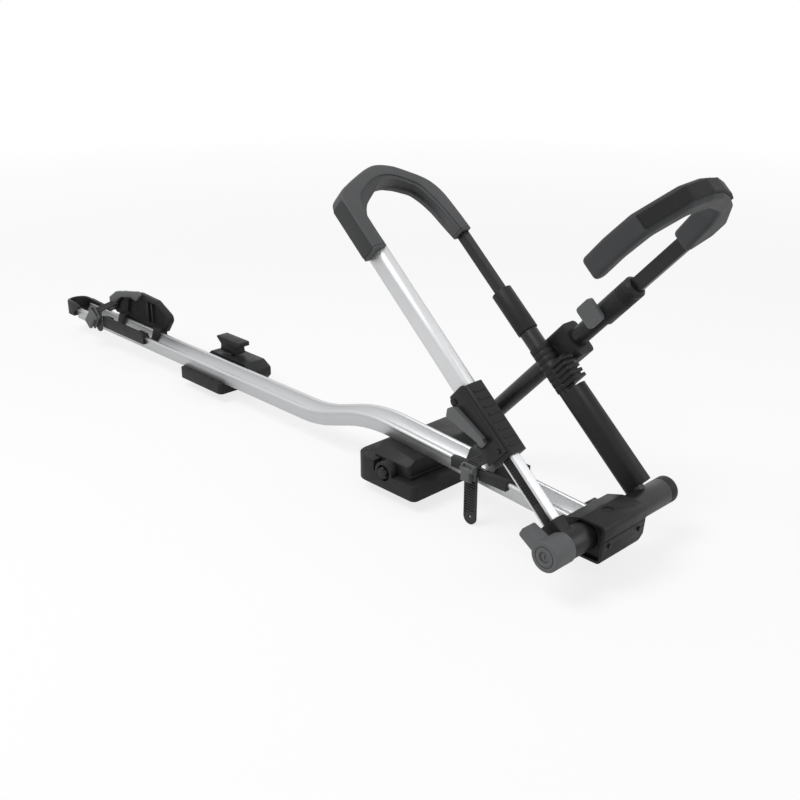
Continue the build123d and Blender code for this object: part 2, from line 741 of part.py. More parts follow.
def make_collar():
    """Clamp collar on the near leg, its plate and screws, the pins and the two moving pieces."""
    body = leg_block(collar_start_s, collar_end_s, collar_near_y, collar_far_y,
                     collar_back_n, collar_front_n)
    body = fillet(body.edges().filter_by(Axis.X), collar_edge_radius)
    body -= rounded_bar(upper_tube_width, upper_tube_depth, -collar_end_s - overrun,
                        -upper_tube_start_s, near_leg_y, upper_tube_round)
    bar_low = near_leg_y - bar_width / 2
    bar_high = near_leg_y + bar_width / 2
    half = bar_depth / 2
    body -= leg_block(collar_start_s - overrun, collar_end_s, bar_low - slide_gap, bar_high + slide_gap,
                      -half - slide_gap, half + slide_gap)
    pawl_half = pawl_width / 2 + slide_gap
    body -= leg_block(pawl_tip_s - pawl_thickness, pawl_pivot_s + pawl_thickness,
                      collar_near_y - overrun, near_leg_y, -pawl_half, pawl_half)
    step = (collar_end_s - collar_start_s) / (collar_rib_count + 1)
    for index in range(collar_rib_count):
        s = collar_start_s + step * (index + 1) - collar_rib_width / 2
        body += leg_block(s, s + collar_rib_width, collar_near_y + collar_edge_radius,
                          collar_far_y - collar_edge_radius, collar_front_n,
                          collar_front_n + collar_rib_height)

    pawl_y = collar_near_y + pawl_thickness / 2 + seat_gap
    pawl_pin_half = pawl_half + pawl_pin_radius * 2
    pawl_pin = rod(pawl_pin_radius, (-pawl_pivot_s, pawl_y, -pawl_pin_half),
                   (-pawl_pivot_s, pawl_y, pawl_pin_half))
    body -= pawl_pin

    plate_near_y = collar_near_y - plate_thickness
    plate = [(-plate_start_s, plate_high_n), (-plate_end_s, plate_high_n), (-plate_end_s, plate_waist_n),
             (-plate_waist_s, plate_waist_n), (-release_pivot_s - release_ear, plate_low_n),
             (-plate_start_s, plate_low_n)]
    plate = prism_z(plate, 0, plate_thickness, plate_thickness / 2)
    plate += Pos(-plate_tab_s, plate_tab_n, 0) * Cylinder(
        plate_tab_radius, plate_thickness, align=(Align.CENTER, Align.CENTER, Align.MIN))
    plate = Pos(0, collar_near_y, 0) * Rot(90, 0, 0) * plate
    ear_y = plate_near_y - release_thickness / 2 - seat_gap
    pin_half = release_root_width / 2 + release_ear + seat_gap
    ears = []
    for side in (-1, 1):
        inner = side * (release_root_width / 2 + seat_gap)
        outer = side * pin_half
        ear = leg_block(release_pivot_s - release_ear, release_pivot_s + release_ear,
                        ear_y, plate_near_y, min(inner, outer), max(inner, outer))
        ear += rod(release_ear, (-release_pivot_s, ear_y, min(inner, outer)),
                   (-release_pivot_s, ear_y, max(inner, outer)))
        ears.append(Pos(0, 0, release_centre_n) * ear)
    release_pin = Pos(0, 0, release_centre_n) * rod(
        release_pin_radius, (-release_pivot_s, ear_y, -pin_half), (-release_pivot_s, ear_y, pin_half))
    for ear in ears:
        plate += ear
    plate -= release_pin
    screws = []
    for s, n in ((plate_start_s + collar_screw_inset, collar_screw_n), (plate_tab_s, plate_tab_n)):
        screw = rod(collar_screw_radius, (-s, plate_near_y - head_screw_depth, n), (-s, collar_near_y, n))
        plate -= screw
        screws.append(screw)
    keep("collar_shell", arm_frame * body)
    keep("collar_plate", arm_frame * plate)
    keep("collar_screws", arm_frame * Compound(screws))
    keep("collar_pins", arm_frame * Compound([release_pin, pawl_pin]))

    root_half = release_root_width / 2
    tip_half = release_tip_width / 2
    tip_n = release_centre_n - release_tilt
    centre = ear_y
    neck_s = release_pivot_s + release_ear + release_pin_radius
    blade = [(-neck_s, release_centre_n + root_half),
             (-release_pivot_s, release_centre_n + root_half),
             (-release_pivot_s, release_centre_n - root_half),
             (-neck_s, release_centre_n - root_half),
             (-release_tip_s, tip_n - tip_half),
             (-release_tip_s - release_tip_round, tip_n),
             (-release_tip_s, tip_n + tip_half)]
    lever = prism_z(blade, 0, release_thickness)
    lever = fillet(lever.edges().filter_by(Axis.Z).sort_by(Axis.X)[:3], release_tip_round / 2)
    lever = Pos(0, centre + release_thickness / 2, 0) * Rot(90, 0, 0) * lever
    barrel = rod(release_thickness / 2, (-release_pivot_s, centre, release_centre_n - root_half),
                 (-release_pivot_s, centre, release_centre_n + root_half))
    lever = lever + barrel
    lever -= rod(release_pin_radius + running_gap, (-release_pivot_s, centre, -collar_start_s),
                 (-release_pivot_s, centre, collar_start_s))
    keep("release_lever", arm_frame * lever)

    tip_y = bar_low - seat_gap
    pawl_half = pawl_width / 2
    back_y = pawl_y - pawl_thickness / 2
    profile = [(-pawl_pivot_s, back_y), (-pawl_tip_s, back_y + pawl_nose), (-pawl_tip_s, tip_y),
               (-pawl_tip_s - pawl_nose, tip_y), (-pawl_tip_s - pawl_thickness, pawl_y),
               (-pawl_pivot_s, pawl_y + pawl_thickness / 2)]
    pawl = prism_z(profile, -pawl_half, pawl_half)
    pawl += rod(pawl_thickness / 2, (-pawl_pivot_s, pawl_y, -pawl_half),
                (-pawl_pivot_s, pawl_y, pawl_half))
    pawl -= rod(pawl_pin_radius + running_gap, (-pawl_pivot_s, pawl_y, -pawl_width),
                (-pawl_pivot_s, pawl_y, pawl_width))
    keep("ratchet_pawl", arm_frame * pawl)


def hoop_points(shares):
    """Outline points in the leg's frame from shares of the hoop's half width and height."""
    height = hoop_end_s - hoop_start_s
    return [(-hoop_start_s - s * height, y * hoop_half_width) for y, s in shares]


def make_hoop():
    """Moulded hoop head that joins the two legs, with a flat side panel on the near limb."""
    body = prism_z(hoop_points(hoop_outer_shares), -hoop_back_depth, hoop_half_depth, hoop_corner_radius)
    reach = hoop_half_width + hoop_corner_radius
    taper_start = hoop_half_width * hoop_taper_share
    side = [(-reach, -hoop_back_depth), (taper_start, -hoop_back_depth), (reach, -hoop_far_back_depth),
            (reach, hoop_far_half_depth), (taper_start, hoop_half_depth), (-reach, hoop_half_depth)]
    body = body & prism_x(side, -hoop_end_s - overrun, -hoop_start_s + hoop_half_depth)
    mouth = outline(hoop_points(hoop_inner_shares))
    hole = loft([Pos(0, hoop_lean, -hoop_back_depth) * mouth, Pos(0, 0, hoop_half_depth) * mouth], ruled=True)
    corners = [edge for edge in hole.edges().filter_by_position(Axis.X, -hoop_end_s, -hoop_start_s - seat_gap)
               if abs(edge.tangent_at(0).Z) > hoop_taper_share]
    body -= fillet(corners, hoop_corner_radius)
    body -= rounded_bar(upper_tube_width, upper_tube_depth, -upper_tube_end_s,
                        -hoop_start_s + overrun, near_leg_y, upper_tube_round)
    half_slim = slim_bar_width / 2
    slim_depth = slim_bar_depth / 2
    body -= leg_block(hoop_start_s - hoop_half_depth, hoop_slim_end_s, far_leg_y - half_slim,
                      far_leg_y + half_slim, -slim_depth, slim_depth)
    keep("hoop_head", arm_frame * body)
    panel_end = hoop_start_s + hoop_outer_shares[1][1] * (hoop_end_s - hoop_start_s)
    panel = leg_block(hoop_start_s, panel_end - hoop_edge_radius, -hoop_half_width - hoop_panel_thickness,
                      -hoop_half_width, -hoop_panel_half_depth, hoop_panel_half_depth)
    panel = fillet(panel.edges().filter_by(Axis.Y), hoop_edge_radius)
    keep("hoop_side_panel", arm_frame * panel)


def make_far_leg():
    """Round lower tube with its guard, swivel collar and coupling, and the slim bar inside it."""
    inner = far_tube_radius - far_tube_wall
    lower = ring_x(far_tube_radius, inner, -far_tube_end_s, 0, far_leg_y)
    keep("far_lower_tube", arm_frame * (lower - shaft_cut()))

    def tube_space(start, end):
        return rod(far_tube_radius, (-end, far_leg_y, 0), (-start, far_leg_y, 0))

    def stadium(radius, start, end, reach):
        body = leg_block(start, end, far_leg_y - radius, far_leg_y + radius, 0, reach - radius)
        return body + rod(radius, (-end, far_leg_y, reach - radius), (-start, far_leg_y, reach - radius))

    guard = stadium(far_tube_radius, guard_start_s, guard_end_s, guard_reach)
    guard -= stadium(far_tube_radius - guard_wall, guard_start_s + guard_wall,
                     guard_end_s - guard_wall, guard_reach - guard_wall)
    guard -= tube_space(guard_start_s - overrun, guard_end_s + overrun)
    keep("far_leg_guard", arm_frame * guard)

    sleeve = ring_x(collar_ring_radius, far_tube_radius, -collar_ring_end_s, -collar_ring_start_s,
                    far_leg_y)
    step = (collar_ring_end_s - collar_ring_start_s) / (ring_count + 1)
    for index in range(ring_count):
        s = collar_ring_start_s + step * (index + 1)
        sleeve -= ring_x(collar_ring_radius + overrun, collar_ring_radius - ring_depth,
                         -s - ring_width / 2, -s + ring_width / 2, far_leg_y)
    fin_step = (fin_end_s - fin_start_s) / fin_count
    half_fin = far_tube_radius
    for index in range(fin_count):
        s = collar_ring_start_s + fin_step * index
        fin = leg_block(s, s + fin_thickness, far_leg_y - half_fin, far_leg_y + half_fin, 0, fin_reach)
        fin = fillet(fin.edges().filter_by(Axis.X).sort_by(Axis.Z)[-2:], fin_thickness)
        sleeve += fin - tube_space(s - overrun, s + fin_thickness + overrun)
    spine = leg_block(collar_ring_start_s, collar_ring_start_s + fin_end_s - fin_start_s,
                      far_leg_y - fin_thickness, far_leg_y + fin_thickness,
                      0, fin_reach - fin_thickness)
    sleeve += spine - tube_space(collar_ring_start_s - overrun, fin_end_s + coupling_radius)
    stub = rod(cross_pivot_radius, (-cross_s, far_leg_y, 0), (-cross_s, cross_pin_end_y, 0))
    sleeve += stub - tube_space(collar_ring_start_s - overrun, collar_ring_end_s + overrun)
    keep("cross_collar", arm_frame * sleeve)

    coupling = ring_x(coupling_radius, far_tube_radius, -far_tube_end_s, -coupling_start_s, far_leg_y)
    shoulder = rod(coupling_radius, (-coupling_end_s, far_leg_y, 0), (-far_tube_end_s, far_leg_y, 0))
    shoulder = chamfer(shoulder.edges().sort_by(Axis.X)[:1], coupling_radius - inner,
                       coupling_end_s - far_tube_end_s - seat_gap)
    half_slim = slim_bar_width / 2 + slide_gap
    slim_depth = slim_bar_depth / 2 + slide_gap
    shoulder -= leg_block(coupling_start_s, coupling_end_s + overrun, far_leg_y - half_slim,
                          far_leg_y + half_slim, -slim_depth, slim_depth)
    keep("coupling_sleeve", arm_frame * (coupling + shoulder))

    slim = leg_block(slim_bar_start_s, hoop_slim_end_s, far_leg_y - slim_bar_width / 2,
                     far_leg_y + slim_bar_width / 2, -slim_bar_depth / 2, slim_bar_depth / 2)
    slim = chamfer(slim.edges().filter_by(Axis.X), slide_gap)
    keep("far_slim_bar", arm_frame * slim)


def make_cross_block():
    """Swivel barrel that turns on the far leg and lets the second arm slide through it."""
    start = cross_t - cross_below
    body = block(start, cross_t + cross_above, cross_near_y, cross_far_y,
                 -cross_half_width, cross_half_width)
    body = fillet(body.edges().filter_by(Axis.X), cross_corner_radius)
    flange = block(start - cross_flange_thickness, start, cross_near_y, cross_far_y,
                   -cross_flange_width, cross_flange_width)
    flange = fillet(flange.edges().filter_by(Axis.X), cross_corner_radius)
    body += flange
    boss_radius = cross_pivot_radius + cross_flange_thickness
    body += rod(boss_radius, (cross_t, cross_boss_near_y, 0), (cross_t, cross_far_y - cross_below, 0))
    body -= rod(swing_tube_radius + running_gap, (0, swing_y, 0), (swing_tube_end, swing_y, 0))
    body -= rod(cross_pivot_radius + running_gap, (cross_t, cross_boss_near_y - overrun, 0),
                (cross_t, cross_pin_end_y + running_gap, 0))
    keep("cross_block", swing_frame * body)


def make_second_arm():
    """Tube of the second arm with its pivot eye, size sleeve and sprung size button."""
    inner = swing_tube_radius - swing_tube_wall
    body = ring_x(swing_tube_radius, inner, swing_tube_start, swing_tube_end, swing_y)
    near_wall = swing_y - swing_tube_radius
    pin_x = (button_start + button_end) / 2
    body -= rod(button_pin_radius + slide_gap, (pin_x, near_wall - overrun, 0), (pin_x, swing_y, 0))
    keep("arm_tube", swing_frame * body)

    eye = rod(pivot_eye_radius, (0, bracket_far_y + seat_gap, 0), (0, swing_y, 0))
    eye -= rod(swing_tube_radius, (swing_tube_start - plug_flange, swing_y, 0),
               (swing_tube_end, swing_y, 0))
    plug_end = -swing_tube_start + pivot_eye_radius
    plug = rod(swing_tube_radius, (swing_tube_start - plug_flange, swing_y, 0),
               (swing_tube_start, swing_y, 0))
    plug += rod(inner, (swing_tube_start, swing_y, 0), (plug_end, swing_y, 0))
    keep("arm_pivot_eye", swing_frame * eye)
    keep("arm_end_plug", swing_frame * plug)

    sleeve = ring_x(size_sleeve_radius, swing_tube_radius, size_sleeve_start, swing_tube_end, swing_y)
    upper = rod(size_sleeve_radius, (swing_tube_end, swing_y, 0), (size_sleeve_end, swing_y, 0))
    upper = chamfer(upper.edges().sort_by(Axis.X)[-1:], size_sleeve_radius - inner)
    ring_step = ring_width * 2
    for index in range(size_ring_count):
        x = size_sleeve_end - size_ring_start - ring_step * index
        upper -= ring_x(size_sleeve_radius + overrun, size_sleeve_radius - ring_depth,
                        x, x + ring_width, swing_y)
    half_width = hook_bar_width / 2 + slide_gap
    half_depth = hook_bar_depth / 2 + slide_gap
    upper -= block(size_sleeve_start, size_sleeve_end + overrun, swing_y - half_width,
                   swing_y + half_width, -half_depth, half_depth)
    keep("size_sleeve", swing_frame * (sleeve + upper))

    cap_far = swing_y - size_sleeve_radius - seat_gap
    cap_near = cap_far - button_cap_thickness
    cap = block(button_start, button_end, cap_near, cap_far, button_low_n, button_high_n)
    cap = fillet(cap.edges().filter_by(Axis.Y), button_corner_radius)
    cap = fillet(cap.faces().sort_by(Axis.Y)[0].edges(), button_corner_radius / 4)
    pin_end = swing_y - hook_bar_width / 2 - seat_gap
    cap += rod(button_pin_radius, (pin_x, cap_far, 0), (pin_x, pin_end, 0))
    keep("size_button", swing_frame * cap)


def make_hook():
    """Hook head on its flat bar, with a soft pad over the arch."""
    half_width = hook_bar_width / 2
    half_depth = hook_bar_depth / 2
    bar = block(hook_bar_start, hook_bar_end, swing_y - half_width, swing_y + half_width,
                -half_depth, half_depth)
    core = block(hook_bar_start - overrun, hook_bar_end - overrun, swing_y - half_width + hook_bar_wall,
                 swing_y + half_width - hook_bar_wall, hook_bar_wall - half_depth,
                 half_depth - hook_bar_wall)
    bar = chamfer(bar.edges().filter_by(Axis.X), slide_gap)
    keep("hook_bar", swing_frame * (bar - core))

    points = [(hook_foot + t * hook_rise, y * hook_outer_y) for y, t in hook_outer_shares + hook_inner_shares]
    plain = prism_z(points, -hook_half_band, hook_half_band, hook_round)
    raised = [(x + hook_pad_thickness, y) for x, y in points]
    arch = Pos(0, 0, -hook_pad_half) * extrude(outline(raised, hook_round), hook_pad_half * 2)
    pad_limit = block(hook_foot + hook_rise * hook_pad_start_share, hook_height + overrun * 2,
                      hook_outer_y * hook_pad_low_share, hook_outer_y * hook_pad_high_share,
                      -hook_half_band, hook_half_band)
    inside = [(hook_foot + t * hook_rise, y * hook_outer_y) for y, t in hook_inner_shares]
    inside += [(hook_foot - hook_rise, hook_outer_y), (hook_foot - hook_rise, hook_tip_y)]
    pad = (arch & pad_limit) - plain - prism_z(inside, -hook_half_band, hook_half_band)
    keep("hook_pad", swing_frame * pad.solids().sort_by(SortBy.VOLUME)[-1])
    socket = block(hook_foot - overrun, hook_bar_end, swing_y - half_width, swing_y + half_width,
                   -half_depth, half_depth)
    rims = plain.faces().sort_by(Axis.Z)[-1].edges() + plain.faces().sort_by(Axis.Z)[0].edges()
    keep("hook_head", swing_frame * (fillet(rims, hook_edge_radius) - socket))


def foot_plan(x0, x1, y0, y1, z0, z1):
    """Foot block with one large rounded corner at the rear and small ones elsewhere."""
    body = block(x0, x1, y0, y1, z0, z1)
    upright = body.edges().filter_by(Axis.Z).sort_by(Axis.X)
    rear_near = upright[:2].sort_by(Axis.Y)[:1]
    body = fillet(rear_near, foot_corner_radius)
    rest = body.edges().filter_by(Axis.Z).sort_by(Axis.X)[-2:]
    return fillet(rest, foot_small_radius)


def claw_recess(pivot_x, side):
    """Space in a foot's underside where a claw lies and swings down."""
    inner = pivot_x - side * (claw_reach + claw_thickness + slide_gap)
    outer = pivot_x + side * (claw_eye_radius + slide_gap)
    half = claw_width / 2 + slide_gap
    return block(min(inner, outer), max(inner, outer), -half, half, -overrun,
                 claw_pivot_z + claw_eye_radius + slide_gap)


def claw_pin(pivot_x):
    half = claw_width / 2 + claw_eye_radius
    return rod(claw_pin_radius, (pivot_x, -half, claw_pivot_z), (pivot_x, half, claw_pivot_z))


def make_claw(name, pivot_x, side):
    """Hooked claw that swings down and in under the crossbar."""
    low = claw_pivot_z - claw_eye_radius
    tip = pivot_x - side * claw_reach
    inside = tip + side * claw_thickness
    points = [(pivot_x, low), (tip, low), (tip, low + claw_hook), (inside, low + claw_hook),
              (inside + side * claw_thickness / 2, low + claw_thickness), (pivot_x, low + claw_thickness)]
    half = claw_width / 2
    body = prism_y(points, -half, half)
    body += rod(claw_eye_radius, (pivot_x, -half, claw_pivot_z), (pivot_x, half, claw_pivot_z))
    body -= rod(claw_pin_radius + running_gap, (pivot_x, -claw_width, claw_pivot_z),
                (pivot_x, claw_width, claw_pivot_z))
    keep(name, body)


def tray_bolt(x, z, tilt, low):
    """T-bolt whose head lies in the tray's slot channel."""
    head_low = slot_lip + seat_gap
    head = block(-tbolt_head_half, tbolt_head_half, -tbolt_head_half, tbolt_head_half,
                 head_low, head_low + tbolt_head_height)
    shank = rod(tbolt_radius, (0, 0, low - z), (0, 0, head_low))
    return Pos(x, 0, z) * Rot(0, tilt, 0) * (head + shank)


def make_front_foot():
    """Base on the crossbar, wedge cover under the tray, second arm's bracket, knob and claws."""
    half = foot_length / 2
    side = foot_width / 2
    base = foot_plan(-half, half, -side, side, 0, foot_base_height)
    shoulder = foot_plan(-half, half, -side, side, foot_base_height, foot_shoulder_height)
    shoulder &= block(-half, foot_shoulder_front_x, -side, side, 0, foot_shoulder_height)
    base += shoulder
    boss = rod(foot_boss_radius, (0, -side, foot_knob_z), (0, foot_wedge_near_y, foot_knob_z))
    base += boss
    knob_space = rod(foot_knob_radius + knob_moat, (0, -side - overrun, foot_knob_z),
                     (0, foot_knob_length - side, foot_knob_z))
    base -= knob_space
    screw_end = foot_wedge_far_y - foot_screw_radius * 2
    screw_bore = rod(foot_screw_radius + running_gap, (0, -side, foot_knob_z),
                     (0, screw_end + seat_gap, foot_knob_z))
    base -= screw_bore
    for claw_side in (-1, 1):
        base -= claw_recess(claw_side * claw_pivot_x, claw_side)
        base -= claw_pin(claw_side * claw_pivot_x)
    rear_x = foot_wedge_rear_x
    front_x = foot_wedge_front_x
    wedge = prism_y(
        [(rear_x, foot_base_height), (front_x, foot_base_height),
         (front_x, tray_z(front_x) - seat_gap), (rear_x, tray_z(rear_x) - seat_gap)],
        foot_wedge_near_y, foot_wedge_far_y)
    hood = [(foot_wedge_near_y, 0), (foot_wedge_near_y, foot_wedge_eave_z), (foot_wedge_ridge_y, ramp_top_z),
            (foot_wedge_far_y, ramp_top_z), (foot_wedge_far_y, 0)]
    wedge &= prism_x(hood, rear_x - overrun, front_x + overrun)
    wedge = chamfer(wedge.edges().filter_by(Axis.Z).sort_by(Axis.Y)[:2], foot_small_radius / 2)
    wedge += block(rear_x, front_x + foot_ledge, foot_wedge_near_y, foot_wedge_far_y,
                   foot_base_height, foot_base_height + foot_ledge_height)
    tilt = -degrees(atan2(tray_front_z - ramp_top_z, tray_front_x - ramp_top_x))
    bolt_low = foot_knob_z + foot_screw_radius * 2
    bolt = tray_bolt(0, tray_z(0), tilt, bolt_low)
    wedge = wedge - screw_bore - knob_space - base - bolt
    keep("front_foot_base", base)
    keep("front_foot_cover", wedge)
    keep("front_foot_bolt", bolt)
    keep("front_claw_pins", Compound([claw_pin(-claw_pivot_x), claw_pin(claw_pivot_x)]))
    bracket_points = [
        (bracket_rear_x, bracket_low_z), (bracket_rear_x, pivot_z), (bracket_rear_x * bracket_crown_share,
         bracket_top_z), (bracket_front_x * bracket_crown_share, bracket_top_z), (bracket_front_x, pivot_z),
        (bracket_front_x, bracket_low_z),
    ]
    bracket = prism_y(bracket_points, bracket_near_y, bracket_far_y, bracket_round / 2)
    bracket = fillet(bracket.edges().filter_by(Axis.X).sort_by(Axis.Z)[-1:], foot_small_radius)
    bracket = bracket - base - wedge
    keep("arm_pivot_bracket", bracket.solids().sort_by(SortBy.VOLUME)[-1])

    knob_near = -side - knob_stand_out
    knob_far = foot_knob_length - side - seat_gap
    knob = rod(foot_knob_radius, (0, knob_near, foot_knob_z), (0, knob_far, foot_knob_z))
    knob = chamfer(knob.edges().sort_by(Axis.Y)[:1], knob_stand_out / 2)
    flute = rod(knob_flute_radius, (foot_knob_radius, knob_near, foot_knob_z),
                (foot_knob_radius, 0, foot_knob_z))
    for index in range(knob_flute_count):
        turn = 360 / knob_flute_count * index
        knob -= Pos(0, 0, foot_knob_z) * Rot(0, turn, 0) * Pos(0, 0, -foot_knob_z) * flute
    knob += rod(foot_screw_radius, (0, knob_far, foot_knob_z), (0, screw_end, foot_knob_z))
    keep("front_torque_knob", knob)
    make_claw("front_claw_fore", claw_pivot_x, 1)
    make_claw("front_claw_aft", -claw_pivot_x, -1)


def make_rear_foot():
    """Sliding foot under the rear of the tray, with a T-handle and two claws."""
    half = rear_foot_length / 2
    x = rear_foot_x
    top = tray_rear_z - seat_gap
    base = block(x - half, x + half, rear_foot_near_y, -rear_foot_near_y, 0, top)
    base = fillet(base.edges().filter_by(Axis.Z).sort_by(Axis.Y)[:2], foot_small_radius)
    nose = x + half * rear_nose_share
    side_points = [(x - half, 0), (x + half, 0), (nose, top), (nose, rear_hump_z),
                   (x + half, rear_shelf_z), (x - half * rear_shelf_share, rear_shelf_z), (x - half, top)]
    far_part = prism_y(side_points, rear_side_y, rear_foot_far_y, foot_small_radius / 2)
    link = block(x - half, x + half, -rear_foot_near_y - overrun, rear_side_y + overrun, 0, top)
    base = base + far_part + link
    screw_low = claw_pivot_z + claw_eye_radius
    screw = rod(foot_screw_radius, (x, rear_knob_y, screw_low), (x, rear_knob_y, rear_knob_base_z))
    base -= rod(foot_screw_radius + running_gap, (x, rear_knob_y, screw_low - seat_gap),
                (x, rear_knob_y, rear_knob_base_z))
    bolt = tray_bolt(x, tray_rear_z, 0, claw_pivot_z)
    base -= bolt
    for side in (-1, 1):
        pivot = x + side * rear_claw_pivot_x
        base -= claw_recess(pivot, side)
        base -= claw_pin(pivot)
    keep("rear_foot_base", base)
    keep("rear_foot_bolt", bolt)
    pins = [claw_pin(x - rear_claw_pivot_x), claw_pin(x + rear_claw_pivot_x)]
    keep("rear_claw_pins", Compound(pins))
    long_half = rear_knob_long / 2
    foot = long_half * rear_knob_foot_share
    waist = long_half * rear_knob_waist_share
    wing_z = rear_knob_top_z - rear_knob_wing
    profile = [(x - foot, rear_knob_base_z), (x + foot, rear_knob_base_z), (x + waist, rear_knob_waist_z),
               (x + long_half, wing_z), (x + long_half, rear_knob_top_z),
               (x - long_half, rear_knob_top_z), (x - waist, rear_knob_waist_z)]
    handle = prism_y(profile, rear_knob_y - rear_knob_wide / 2, rear_knob_y + rear_knob_wide / 2)
    handle = fillet(handle.edges().filter_by(Axis.Y), foot_small_radius / 4)
    keep("rear_foot_handle", handle + screw)
    make_claw("rear_claw_fore", x + rear_claw_pivot_x, 1)
    make_claw("rear_claw_aft", x - rear_claw_pivot_x, -1)


def tray_envelope(x0, z0, x1, z1):
    """Solid outer form of the tray between two stations, with a clearance all round."""
    bead_z = tray_height - bead_radius
    grow = seat_gap
    right = [(tray_base_half + grow, -grow), (tray_flare_half + grow, tray_flare_z),
             (tray_half + grow, bead_z - grow), (tray_half + grow, tray_height + grow),
             (bead_centre_half - bead_radius - grow, tray_height + grow),
             (tray_floor_half - grow, tray_floor_z + grow)]
    left = [(-y, z) for y, z in reversed(right)]
    run = Vector(x1 - x0, 0, z1 - z0)
    plane = Plane(origin=(x0, 0, z0), x_dir=(0, 1, 0), z_dir=run)
    return extrude(plane * outline(right + left), run.length)


def make_front_saddle():
    """Wheel saddle that grips the tray's rims, its window insert, strap and buckle."""
    half = tray_half + saddle_wall
    low = tray_height * saddle_skirt_share
    envelope = tray_envelope(saddle_rear_x - overrun, tray_z(saddle_rear_x - overrun),
                             saddle_front_x + overrun, tray_z(saddle_front_x + overrun))

    def station(x0, x1, far_rise):
        base_z = tray_z(x1)
        section = [(-half, base_z + low), (-half, base_z + tray_height + saddle_wall / 2),
                   (-half + saddle_wall, base_z + tray_height + saddle_wall),
                   (-tray_floor_half * 2, base_z + tray_height + saddle_wall / 2),
                   (-tray_floor_half, base_z + tray_floor_z + saddle_wall),
                   (tray_floor_half, base_z + tray_floor_z + saddle_wall),
                   (tray_floor_half * 2, base_z + tray_height + saddle_wall / 2),
                   (half - saddle_wall, base_z + tray_height + far_rise),
                   (half, base_z + tray_height + far_rise), (half, base_z + low)]
        return prism_x(section, x0, x1) - envelope

    rear = station(saddle_rear_x, saddle_gap_rear_x, saddle_wall)
    front = station(saddle_gap_front_x, saddle_front_x, saddle_far_rise)
    band_z = tray_z(saddle_gap_front_x)
    near_band = block(saddle_rear_x, saddle_front_x, -half, -tray_half - seat_gap, band_z + low,
                      band_z + tray_height)
    far_band = block(saddle_rear_x, saddle_front_x, tray_half + seat_gap, half, band_z + low,
                     band_z + tray_height)
    keep("front_wheel_saddle", rear + front + near_band + far_band)


def ladder_strap(route, x0, x1, thickness):
    """Flat strap along a route of points in Y and Z, with a rounded, drilled tail and cross grooves."""
    line = FilletPolyline(*route, radius=strap_bend)
    plane = Plane(origin=(x0, 0, 0), x_dir=(0, 1, 0), z_dir=(1, 0, 0))
    body = extrude(plane * trace(line, thickness), x1 - x0)
    tail_y, tail_z = route[-1]
    width = x1 - x0
    ends = body.edges().filter_by(Axis.Y).sort_by(Axis.Z)[:2]
    body = fillet(ends, width / 2 - rung_gap)
    middle = (x0 + x1) / 2
    hole_z = tail_z + width / 2
    body -= rod(strap_hole_radius, (middle, tail_y - overrun, hole_z), (middle, tail_y + overrun, hole_z))
    count = int((line.length - width - strap_bend) / rung_pitch)
    for index in range(1, count):
        spot = line.location_at(rung_pitch * index, position_mode=PositionMode.LENGTH)
        along = line.tangent_at(rung_pitch * index, position_mode=PositionMode.LENGTH)
        outward = Vector(along.Y, -along.X, 0)
        seat = spot.position + outward * (thickness / 2)
        groove = Plane(origin=(seat.X, seat.Y, 0), x_dir=outward, z_dir=(0, 0, 1)) * Rectangle(
            rung_depth * 2, rung_gap)
        body -= extrude(plane * groove, width)
    return body


def make_front_strap():
    x0 = (saddle_gap_rear_x + saddle_gap_front_x - strap_width) / 2
    rim_z = tray_z(x0) + tray_height
    half = tray_half + saddle_wall + seat_gap + strap_thickness / 2
    crest = rim_z + strap_thickness + strap_lift
    route = [(half, rim_z - tray_height / 2), (half, crest), (-half, crest), (-half, strap_tail_low_z)]
    strap = ladder_strap(route, x0, x0 + strap_width, strap_thickness)
    keep("front_strap", strap)


def make_buckle(prefix, frame, length, width):
    """Buckle body with two ears and its pin, and a lever that swings outward, lying in a flat frame."""
    half = width / 2
    ear = buckle_ear
    base = block(0, length, -half, half, 0, ear)
    for side in (-1, 1):
        inner = side * (half - ear)
        outer = side * half
        base += block(0, ear * 3, min(inner, outer), max(inner, outer), 0, buckle_pin_height)
        base += rod(ear, (ear * 2, min(inner, outer), buckle_pin_height),
                    (ear * 2, max(inner, outer), buckle_pin_height))
    pin = rod(buckle_pin_radius, (ear * 2, -half, buckle_pin_height), (ear * 2, half, buckle_pin_height))
    base -= pin
    lever_half = half - ear - seat_gap
    low = buckle_pin_height - ear / 2
    profile = [(ear * 2, low), (ear * 2, buckle_pin_height + ear), (length, low + ear * 2),
               (length + ear, low)]
    lever = prism_y(profile, -lever_half, lever_half)
    lever += rod(ear, (ear * 2, -lever_half, buckle_pin_height), (ear * 2, lever_half, buckle_pin_height))
    lever -= rod(buckle_pin_radius + running_gap, (ear * 2, -width, buckle_pin_height),
                 (ear * 2, width, buckle_pin_height))
    keep(prefix + "_buckle_body", frame * Compound([base, pin]))
    keep(prefix + "_buckle_lever", frame * lever)


